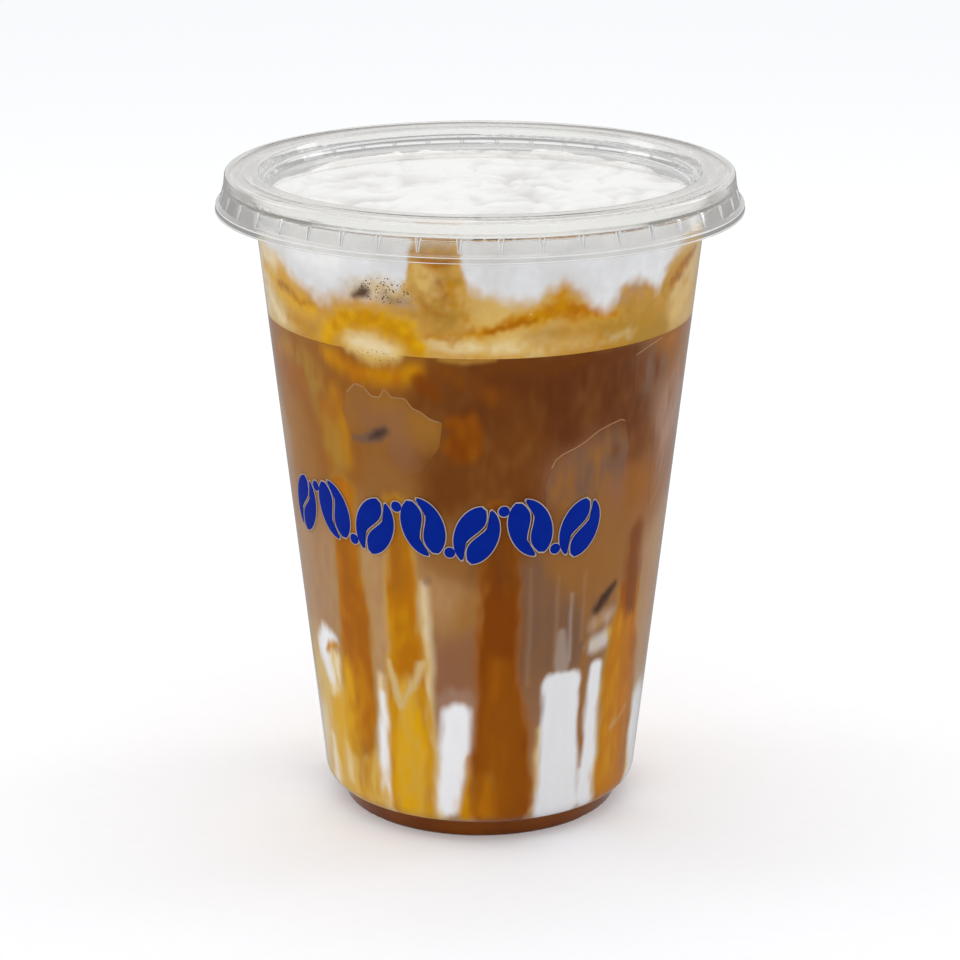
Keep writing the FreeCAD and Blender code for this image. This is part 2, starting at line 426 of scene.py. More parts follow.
# ---- The cup as a measuring frame ----------------------------------------------------------
@dataclass
class Bore:
    """The walls of the cup, measured on the frame's own cup."""

    cup: bpy.types.Object
    reach: float = 0.15 * MM
    tree: BVHTree = field(init=False)

    def __post_init__(self) -> None:
        """Make the tree that the rays are cast in."""
        mesh = self.cup.data
        corners = [vertex.co for vertex in mesh.vertices]
        self.tree = BVHTree.FromPolygons(corners, [polygon.vertices for polygon in mesh.polygons])

    def inside(self, height: float) -> float:
        """Radius of the cup's inner face at a height."""
        hit = self.tree.ray_cast(Vector((0, 0, height)), Vector((1, 0.013, 0)))
        return math.hypot(hit[0].x, hit[0].y)

    def outside(self, height: float) -> float:
        """Radius of the cup's outer face at a height."""
        hit = self.tree.ray_cast(Vector((0.1, 0.0013, height)), Vector((-1, 0, 0)))
        return math.hypot(hit[0].x, hit[0].y)

    def filled(self, heights: np.ndarray) -> np.ndarray:
        """Radius of what fills the cup, just into the wall, at each height."""
        return np.array([self.inside(float(height)) + self.reach for height in heights])


def on_cup(angle: np.ndarray, radius: np.ndarray, height: np.ndarray) -> np.ndarray:
    """Points round the cup.

    Args:
        angle: Degrees from the front.
        radius: Metres from the axis.
        height: Metres above the table.

    Returns:
        One row of x, y and z for each point.
    """
    turn = np.radians(angle)
    return np.stack([radius * np.sin(turn), -radius * np.cos(turn), height], -1)


def turn_between(angle: np.ndarray, start: float) -> np.ndarray:
    """Degrees from a start, from -180 to 180."""
    return (angle - start + 180) % 360 - 180


# ---- Painting the drink --------------------------------------------------------------------
@dataclass(frozen=True)
class Places:
    """Where the painted points lie, and the noise there."""

    angle: np.ndarray
    height_mm: np.ndarray
    across_mm: np.ndarray
    warp_mm: np.ndarray
    feather_mm: np.ndarray
    blot: np.ndarray

    @classmethod
    def of(cls, points: np.ndarray, angle: np.ndarray, drawn: float = 2.0) -> Places:
        """Measure points and their noise.

        Args:
            points: Positions in metres.
            angle: Degrees from the front.
            drawn: How far the noise is drawn out upwards, 1 for even noise.

        Returns:
            Places, with the millimetres to a degree in across_mm.
        """
        rows = []
        for x, y, z in points:
            coarse = noise.noise_vector((x * COARSE_CELLS, y * COARSE_CELLS, z * COARSE_CELLS / drawn))
            small = noise.noise_vector((x * SMALL_CELLS, y * SMALL_CELLS, z * SMALL_CELLS / drawn))
            tiny = noise.noise((x * TINY_CELLS, y * TINY_CELLS, z * TINY_CELLS / drawn**2))
            sideways = coarse.x + 0.4 * small.x
            upwards = coarse.z + 0.4 * small.z
            rows.append((sideways, upwards, coarse.y + 0.6 * small.y, tiny))
        table = np.array(rows)
        radius_mm = np.hypot(points[:, 0], points[:, 1]) / MM
        blot = np.clip(0.5 + 0.8 * table[:, 2] + 0.35 * table[:, 3], 0, 1)
        across = radius_mm * math.pi / 180
        return cls(angle, points[:, 2] / MM, across, table[:, :2], table[:, 3] * 0.7, blot)


@dataclass(frozen=True)
class Stroke:
    """A soft ribbon or blot of one tone, drifting to another, on the inside of the wall.

    The path's points are (angle in degrees, height in mm, half width in mm).
    """

    tone: Tone
    path: tuple[tuple[float, float, float], ...]
    soft: float = 0.8
    drift: Tone | None = None
    strength: float = 1.0
    wobble: float = 1.0
    rim: Tone | None = None

    def cover(self, places: Places, wider_mm: float = 0.0, softer: float = 1.0) -> np.ndarray:
        """How much of the stroke shows at each point.

        Args:
            places: The painted points.
            wider_mm: Extra half width.
            softer: Times the softness of its edge.

        Returns:
            Shares from 0 to the stroke's strength.
        """
        nearest = np.full(places.angle.shape, 1e3)
        points = self.path if len(self.path) > 1 else self.path * 2
        rise = places.height_mm + places.warp_mm[:, 1] * self.wobble
        for (a0, z0, w0), (a1, z1, w1) in zip(points, points[1:]):
            px = turn_between(places.angle, a0) * places.across_mm + places.warp_mm[:, 0] * self.wobble
            py = rise - z0
            dx = (a1 - a0) * places.across_mm
            dy = z1 - z0
            along = np.clip((px * dx + py * dy) / np.maximum(dx * dx + dy * dy, 1e-6), 0, 1)
            away = np.hypot(px - along * dx, py - along * dy) - (w0 + (w1 - w0) * along)
            nearest = np.minimum(nearest, away)
        nearest = nearest + places.feather_mm * self.wobble * min(self.soft, 1.2) - wider_mm
        share = np.clip(0.5 - nearest / (2 * self.soft * softer), 0, 1)
        return self.strength * share * share * (3 - 2 * share)

    def lay(self, colour: np.ndarray, places: Places) -> None:
        """Mix the stroke into the colours in place.

        Args:
            colour: Linear colours, one row for each point.
            places: The painted points.
        """
        if self.rim is not None:
            share = 0.75 * self.cover(places, 0.5, 1.7)[:, None]
            colour[:] = colour * (1 - share) + self.rim.linear() * share
        share = self.cover(places)
        touched = share > 0.002
        tone = np.tile(self.tone.linear(), (int(touched.sum()), 1))
        if self.drift is not None:
            blot = places.blot[touched][:, None]
            tone = tone + (self.drift.linear() - tone) * blot * blot * (3 - 2 * blot)
        share = share[touched][:, None]
        colour[touched] = colour[touched] * (1 - share) + tone * share


@dataclass(frozen=True)
class FoamLine:
    """Pale foam above a ragged line round the wall, greyed by painted shade, given as (angle in degrees,
    height in mm).
    """

    line: tuple[tuple[float, float], ...]
    tone: Tone = Tone.FOAM_SIDE_SHADE
    drift: Tone = Tone.MILK_SHADE
    soft: float = 2.1

    def lay(self, colour: np.ndarray, places: Places) -> None:
        """Mix the foam into the colours in place.

        Args:
            colour: Linear colours, one row for each point.
            places: The painted points.
        """
        angles, heights = zip(*self.line)
        line = np.interp(turn_between(places.angle, 0), angles, heights)
        away = line - places.height_mm + 1.8 * places.warp_mm[:, 1] + 0.9 * (0.5 - places.blot)
        share = np.clip(0.5 - away / (2 * self.soft), 0, 1)[:, None]
        share = share * share * (3 - 2 * share)
        blot = places.blot[:, None]
        # Painted shade: the foam's side is grey, lighter where the blot drifts.
        white = self.tone.linear() * (1 - blot) + self.drift.linear() * blot
        colour[:] = colour * (1 - share) + white * share


@dataclass(frozen=True)
class Anchor:
    """A tone at one place, blended smoothly into its neighbours."""

    angle: float
    height_mm: float
    tone: Tone


@dataclass
class Painter:
    """Ground tones blended between anchors, then strokes and foam on top.

    The noise bends the blend, and the evenness, in square mm, keeps an anchor from showing as a dot.
    """

    anchors: list[Anchor]
    strokes: list[Stroke | FoamLine]
    mottle: Tone = Tone.LATTE
    mottled: float = 0.25
    drawn: float = 2.0
    bend: float = 2.2
    evenness: float = 9.0

    def ground(self, places: Places) -> np.ndarray:
        """Blend of the anchors at each point.

        Args:
            places: The painted points.

        Returns:
            Linear colours.
        """
        total = np.zeros((len(places.angle), 3))
        weights = np.zeros((len(places.angle), 1))
        for anchor in self.anchors:
            dx = turn_between(places.angle, anchor.angle) * places.across_mm
            dx = dx + self.bend * places.warp_mm[:, 0]
            dy = places.height_mm - anchor.height_mm + self.bend * places.warp_mm[:, 1]
            weight = (1 / (dx * dx + dy * dy + self.evenness) ** 2)[:, None]
            total += weight * anchor.tone.linear()
            weights += weight
        share = (self.mottled * places.blot**2)[:, None]
        return total / weights * (1 - share) + self.mottle.linear() * share

    def paint(self, piece: bpy.types.Object, angle: np.ndarray) -> None:
        """Store the painted tone on every vertex.

        Args:
            piece: The mesh object.
            angle: Degrees from the front of each vertex.
        """
        count = len(piece.data.vertices)
        points = np.empty(count * 3, np.float32)
        piece.data.vertices.foreach_get("co", points)
        places = Places.of(points.reshape(-1, 3).astype(float), angle, self.drawn)
        colour = self.ground(places)
        for stroke in self.strokes:
            stroke.lay(colour, places)
        set_tint(piece, colour)


def set_tint(piece: bpy.types.Object, colour: np.ndarray) -> None:
    """Store a linear colour on each vertex.

    Args:
        piece: The mesh object.
        colour: Red, green and blue for each vertex.
    """
    layer = piece.data.color_attributes.new("tint", "FLOAT_COLOR", "POINT")
    opaque = np.concatenate([np.clip(colour, 0, 1), np.ones((len(colour), 1))], 1)
    layer.data.foreach_set("color", opaque.astype(np.float32).ravel())


# ---- The recipe: where each tone lies ------------------------------------------------------
def anchors_of(rows: dict[Tone, tuple[tuple[float, float], ...]]) -> list[Anchor]:
    """List anchors from each tone's places, given as (angle in degrees, height in mm)."""
    return [Anchor(angle, height, tone) for tone, places in rows.items() for angle, height in places]


def front_anchors() -> list[Anchor]:
    """Ground tones of the milky coffee on the front half, with a painted sheen down the right side.

    Returns:
        Anchors over the front half.
    """
    return anchors_of({
        Tone.PALE_CREAM: ((-78, 16),),
        Tone.BUTTER: ((-72, 27),),
        Tone.TAN: ((-76, 50), (-62, 56), (-55, 46), (64, 40), (74, 56), (76, 36), (-78, 78)),
        Tone.FAWN: ((-34, 52), (-32, 60), (-34, 40), (-11, 51)),
        Tone.LATTE: ((-8, 62), (27, 58), (42, 58), (-28, 74), (-75, 94), (77, 92), (34, 70)),
        Tone.MAUVE: ((-8, 38), (-2, 40), (76, 74), (28, 76), (40, 74)),
        Tone.SMOKE: ((25, 44), (52, 94), (15, 46), (14, 54)),
        Tone.WARM_LATTE: ((-62, 74), (-66, 84), (-20, 68), (-7, 50)),
        Tone.RUST: ((-60, 92), (-46, 86), (-44, 78), (-42, 90), (62, 98), (53, 72), (-24, 97)),
        Tone.COCOA: (
            (5, 62), (-8, 74), (10, 76), (4, 94), (-14, 92), (54, 80), (14, 68), (2, 82), (14, 84),
        ),
        Tone.ESPRESSO: ((20, 92), (29, 95), (36, 92), (44, 92), (-4, 88), (46, 87), (24, 87)),
        # Painted sheen down the right side, where the wall catches the light.
        Tone.PINK_LATTE_AND_SHEEN: ((67, 82), (70, 86)),
        Tone.MILK_SHADE: ((82, 14),),
    })


def head_anchors() -> list[Anchor]:
    """Ground tones between the coffee's top and the lid.

    Returns:
        Anchors all round the head.
    """
    return anchors_of({
        Tone.PALE_CREAM: ((-78, 108), (-72, 113), (150, 108), (-130, 112)),
        Tone.CREAM: ((14, 103), (-65, 105), (64, 107), (72, 112), (100, 104), (-100, 104), (175, 104)),
        Tone.STAIN: (
            (-54, 104), (-46, 103), (-10, 106), (24, 104),
            (30, 108), (52, 108), (130, 106), (-150, 104),
        ),
        Tone.BUTTER: ((6, 103), (-4, 103), (-120, 106), (160, 112)),
        Tone.HONEY: ((-60, 109), (86, 108), (-165, 108)),
        Tone.OLIVE: ((53, 102.5), (36, 105), (45, 106), (48, 104)),
    })


def milk_strokes() -> list[Stroke]:
    """White milk low down, where the coffee hasn't mixed in.

    Returns:
        Strokes, the white ones with calmer sides than the rest.
    """
    shade = Tone.MILK_SHADE
    made = [
        Stroke(Tone.HONEY, ((-60, 22, 4), (-59, 7, 8)), 2.4, Tone.BUTTER),
        Stroke(Tone.YOLK, ((-56, 27, 1.6), (-59, 18, 2.6), (-61, 12, 1.4)), 2.2, Tone.HONEY, 0.8),
        Stroke(Tone.PALE_CREAM, ((-66, 15, 1.0), (-66, 7, 1.6)), 1.4, Tone.MILK, 0.85),
        Stroke(Tone.PALE_CREAM, ((-54, 16, 0.5), (-54, 8, 0.9)), 1.2, strength=0.8),
        Stroke(Tone.PALE_CREAM, ((-58.5, 34, 3.4), (-59.5, 29, 1.8), (-60.5, 26.5, 0.6)), 1.4, Tone.BUTTER),
        Stroke(Tone.MILK, ((-64.5, 35.5, 2.2), (-60, 38, 2.2), (-56, 38.6, 1.2)), 1.5),
        Stroke(Tone.MILK, ((-63, 33, 2.4), (-61, 30, 1.6)), 1.5, strength=0.8),
        Stroke(Tone.GOLD, ((-61.5, 34.6, 0.3), (-55, 38.0, 0.8)), 0.8),
        Stroke(Tone.PALE_CREAM, ((-33.6, 34, 0.8), (-34.6, 24, 1.9), (-35.2, 8, 2.1)), 1.3, strength=0.8),
        Stroke(Tone.MILK, ((-34.0, 30, 0.7), (-34.9, 22, 1.5), (-35.2, 8, 1.6)), 0.9),
        Stroke(Tone.PALE_CREAM, ((-35.5, 8, 1.6), (-34.5, 5, 1.6)), 1.2),
        Stroke(
            Tone.CREAM,
            ((-17, 55, 0.6), (-17, 42, 1.0), (-17.4, 32, 1.4), (-15.6, 6, 1.9)),
            1.2, Tone.PALE_CREAM, 0.9, 0.4,
        ),
        Stroke(Tone.PINK_LATTE_AND_SHEEN, ((-7.4, 30, 3.2), (-8.2, 24, 3.6)), 1.6, strength=0.85),
        Stroke(Tone.MILK, ((-7.6, 27.4, 2.7), (-8.7, 20, 3.1), (-11.2, 8, 2.3)), 1.1),
        Stroke(Tone.CREAM, ((19, 24, 0.4), (19, 7, 1.0)), 0.9),
        Stroke(shade, ((24.6, 33.0, 2.4), (31.2, 33.0, 2.4)), 0.9),
        Stroke(shade, ((27.8, 31, 4.1), (28.3, 20, 4.6), (28.9, 7, 4.8)), 0.9),
        Stroke(shade, ((41, 35, 1.5), (41.2, 20, 1.7), (41.8, 7, 2.4)), 0.9),
        Stroke(Tone.CREAM, ((38.6, 40, 1.6), (43.4, 40.6, 1.8)), 1.3, Tone.GREY_MILK, wobble=0.4),
        Stroke(Tone.GREY_MILK, ((38.6, 44.4, 1.3), (45, 45.6, 1.2)), 1.4, Tone.TAN, 0.95, 0.4),
        Stroke(
            Tone.SHADOW,
            ((38.9, 47.5, 0.8), (41.6, 49.3, 1.2), (46, 52, 0.4)),
            0.9, strength=0.95, wobble=0.4,
        ),
        Stroke(Tone.LATTE, ((35.8, 52, 0.3), (36.2, 32, 0.55), (37.4, 22, 0.6), (38.4, 14, 0.1)), 0.7),
        Stroke(shade, ((73, 21, 4.5), (75, 8, 5.5)), 2.2, strength=0.85),
        Stroke(Tone.BUTTER, ((66, 14, 0.8), (68, 8, 1.6)), 1.6, Tone.HONEY, 0.8),
    ]
    calm = (shade, Tone.MILK)
    return [replace(stroke, wobble=0.5) if stroke.tone in calm else stroke for stroke in made]


def thin_runs() -> list[Stroke]:
    """Fine pale and dark threads over the tall white patch.

    Returns:
        One stroke for each thread.
    """
    threads = (
        (Tone.GREY_MILK, 29.3, 52, 38, 0.2, 0.5),
        (Tone.TAN, 24.2, 56, 38, 0.3, 0.45),
        (Tone.TAN, 15.2, 58, 34, 0.3, 0.35),
        (Tone.GREY_MILK, 26.6, 44, 37, 1.6, 0.35),
        (Tone.SMOKE, 21.6, 50, 38, 0.5, 0.5),
        (Tone.SMOKE, 31.6, 48, 38, 0.6, 0.5),
        (Tone.TAN, 33.6, 56, 42, 0.2, 0.5),
        (Tone.COCOA, 13.0, 52, 34, 0.3, 0.4),
    )
    return [
        Stroke(
            tone,
            ((angle, high, half * 0.5), (angle + 0.4, low, half)),
            0.7, strength=strength, wobble=0.3,
        )
        for tone, angle, high, low, half, strength in threads
    ]


def caramel_runs() -> list[Stroke]:
    """Caramel that ran down the inside of the wall on the front half.

    Returns:
        Strokes, each run before its own details.
    """
    return [
        Stroke(Tone.HONEY, ((-46, 16, 4.0), (-44, 7, 4.8)), 1.8, Tone.BUTTER),
        Stroke(Tone.GOLD, ((-44, 12, 2.0), (-43, 7, 3.0)), 2.4, Tone.HONEY, 0.6),
        Stroke(
            Tone.AMBER,
            ((-44, 72, 2.6), (-44.2, 55, 3.2), (-44, 42, 3.8), (-44.8, 30, 4.2), (-46, 19, 3.4)),
            0.9,
            Tone.DARK_AMBER,
            rim=Tone.OLIVE,
        ),
        Stroke(Tone.YOLK, ((-49.2, 36, 0.8), (-50, 27, 1.8), (-49.4, 17, 2.2)), 1.6, Tone.GOLD, 0.95),
        Stroke(Tone.GOLD, ((-44, 34, 1.4), (-45, 22, 2.2)), 2.4, Tone.AMBER, 0.5),
        Stroke(Tone.AMBER, ((-46, 18, 2.2), (-46.4, 10, 1.6)), 2.2, Tone.OLIVE, 0.6),
        Stroke(Tone.SIENNA, ((-44.3, 62, 1.7), (-44, 52, 1.5)), 1.6, strength=0.45),
        Stroke(
            Tone.GOLD,
            (
                (-24.8, 70, 2.2), (-24.2, 52, 2.8), (-23.8, 40, 3.1), (-24.4, 28, 4.3),
                (-24.6, 18, 4.5), (-25, 6, 4.4),
            ),
            0.9,
            Tone.AMBER,
            rim=Tone.HONEY,
        ),
        Stroke(
            Tone.YOLK,
            ((-23.6, 33, 1.8), (-24, 26, 3.0), (-24.5, 18, 3.6), (-25, 7, 3.6)),
            1.8, Tone.HONEY,
        ),
        Stroke(Tone.AMBER, ((-20.5, 58, 0.3), (-20.6, 44, 0.5), (-23, 32, 0.3)), 0.9, strength=0.7),
        Stroke(Tone.RUST, ((-26, 72, 1.8), (-25, 54, 1.4)), 2.2, strength=0.55),
        Stroke(
            Tone.CREAM,
            (
                (-29.5, 38, 0.35), (-28, 32, 1.0), (-26.4, 28.4, 0.8), (-24.6, 29.6, 0.3),
                (-22, 33, 0.6), (-19.4, 38, 0.9),
            ),
            0.6,
        ),
        Stroke(Tone.GOLD, ((-3.4, 19, 0.3), (-5.0, 6, 1.7)), 1.2, Tone.YOLK),
        Stroke(
            Tone.UMBER,
            ((5.6, 69, 2.6), (5.8, 46, 3.4), (6.0, 34, 3.7), (6.6, 24, 4.6), (8.2, 8, 5.8)),
            0.9,
            Tone.SIENNA,
            rim=Tone.DARK_AMBER,
        ),
        Stroke(Tone.COCOA, ((5.6, 68, 2.8), (5.8, 57, 2.6)), 2.8, strength=0.75),
        Stroke(Tone.DARK_AMBER, ((6, 38, 1.4), (6, 27, 2.6), (6, 7, 3.6)), 2.6, Tone.SIENNA, 0.75),
        Stroke(Tone.AMBER, ((2, 14, 1.0), (1, 7, 1.8)), 2.0, Tone.OLIVE, 0.8),
        Stroke(Tone.HONEY, ((46.4, 42, 0.8), (46, 26, 1.2), (47.2, 8, 1.4)), 1.2, Tone.OLIVE),
        Stroke(
            Tone.DARK_AMBER,
            ((54.4, 49, 3.4), (54, 40, 4.6), (54.6, 28, 5.2), (56.5, 8, 5.8)),
            1.0,
            Tone.AMBER,
            rim=Tone.OLIVE,
        ),
        Stroke(Tone.GOLD, ((50, 43, 1.6), (50.6, 26, 3.0), (52.4, 9, 3.4)), 2.2, Tone.AMBER, 0.9),
        Stroke(Tone.UMBER, ((53.6, 61, 2.2), (54.6, 52, 3.0), (55.5, 46, 2.0)), 1.6, Tone.COCOA, 0.9),
        Stroke(Tone.LATTE, ((62.4, 36, 0.8), (63.4, 20, 1.2), (65, 10, 1.2)), 1.6, strength=0.6),
        Stroke(Tone.FAWN, ((51.4, 20.4, 0.2), (55, 21.6, 0.6), (60, 23.8, 0.3)), 0.9, strength=0.75),
        Stroke(Tone.SHADOW, ((-16, 55.5, 0.7),), 0.9, Tone.SMOKE, 0.75),
    ]


def under_surface() -> list[Stroke]:
    """Caramel and cold patches just under the coffee's top.

    Returns:
        Soft strokes.
    """
    return [
        Stroke(Tone.DARK_AMBER, ((-74, 95, 2.0), (-60, 94, 3.4), (-52, 92, 3.4)), 4.0, Tone.LATTE, 0.7),
        Stroke(
            Tone.STAIN,
            ((-10, 100.4, 0.5), (-3, 100.3, 0.6), (4, 100.6, 0.3)),
            0.7, Tone.OLIVE, 0.8, 0.4,
        ),
        Stroke(
            Tone.RUST,
            ((-66, 98, 1.4), (-54, 96, 2.6), (-48, 90, 2.6), (-46, 80, 2.0)),
            3.0, Tone.OLIVE, 0.75,
        ),
        Stroke(Tone.AMBER, ((-47, 87, 1.4), (-44, 78, 2.6)), 3.2, Tone.OLIVE, 0.7),
        Stroke(Tone.ESPRESSO, ((0, 95.6, 1.4), (8, 96.8, 1.8), (16, 94, 1.6)), 2.6, Tone.COCOA, 0.6),
        Stroke(Tone.SIENNA, ((-14, 97.6, 0.9), (-6, 98, 1.0), (2, 92.6, 1.4)), 2.0, Tone.COCOA, 0.6),
        Stroke(Tone.AMBER, ((60, 98.8, 0.8), (66, 99, 0.8)), 2.0, Tone.RUST, 0.6),
        Stroke(Tone.AMBER, ((-41.4, 91.5, 1.2), (-40.4, 86, 1.4), (-40, 78, 1.0)), 2.2, Tone.GOLD, 0.75),
        Stroke(
            Tone.AMBER,
            ((-43, 98.6, 1.6), (-34, 96.2, 1.5), (-26, 96.0, 1.7), (-17, 97.8, 1.6)),
            2.0, Tone.GOLD,
        ),
        Stroke(Tone.RUST, ((-40, 94, 1.2), (-36, 84, 1.6), (-37, 76, 1.6)), 2.6, strength=0.7),
        Stroke(Tone.GOLD, ((-42, 92, 0.8), (-41, 86, 0.6)), 2.4, strength=0.3),
        Stroke(Tone.UMBER, ((-15.5, 95.6, 1.6), (-11, 93, 0.8)), 1.2, strength=0.9),
        Stroke(Tone.UMBER, ((-7, 88, 1.6), (-4, 87.5, 2.4), (-4.6, 83, 3.0)), 1.2, Tone.SIENNA),
        Stroke(Tone.COCOA, ((-2, 98.6, 0.8), (20, 98.8, 0.9), (44, 99, 0.5)), 1.6, Tone.ESPRESSO),
        Stroke(Tone.STAIN, ((-62, 98, 0.6), (-70, 96, 0.8)), 2.2, Tone.AMBER, 0.45),
    ]


def ice_marks() -> list[Stroke]:
    """Tones of the ice that leans on the wall on the front half, with a painted sheen on the right face.

    Returns:
        Strokes that only the ice faces carry.
    """
    return [
        Stroke(Tone.LATTE, ((-35, 90, 5.0), (-26, 88, 6.0), (-14, 86, 4.0)), 3.4, Tone.WARM_LATTE),
        Stroke(Tone.MAUVE, ((-31, 87, 1.6), (-24, 88, 2.2), (-20, 80, 2.0)), 2.4, strength=0.6),
        Stroke(
            Tone.SMOKE,
            ((-38.4, 83.2, 0.2), (-34, 83, 0.9), (-29, 84.2, 1.5), (-26.2, 85.4, 1.0)),
            0.8, wobble=0.25,
        ),
        Stroke(
            Tone.SHADOW,
            ((-31, 83.6, 0.3), (-28.4, 84.6, 0.9), (-26.8, 85.3, 0.6)),
            0.9, strength=0.8, wobble=0.25,
        ),
        Stroke(Tone.SMOKE, ((24, 74, 4.0), (31, 76, 5.6), (40, 79, 5.0)), 3.2, Tone.LATTE, 0.95, 0.4),
        Stroke(Tone.COCOA, ((40.5, 80, 1.0),), 1.8, strength=0.7),
        Stroke(Tone.SMOKE, ((50, 95, 3.6), (56, 94, 3.2)), 2.6, Tone.COCOA),
        # Painted sheen over the right ice face, down the right side.
        Stroke(Tone.PINK_LATTE_AND_SHEEN, ((66, 88, 2.4), (67, 78, 3.0), (64, 71, 1.2)), 2.2, Tone.MAUVE, 0.9),
    ]


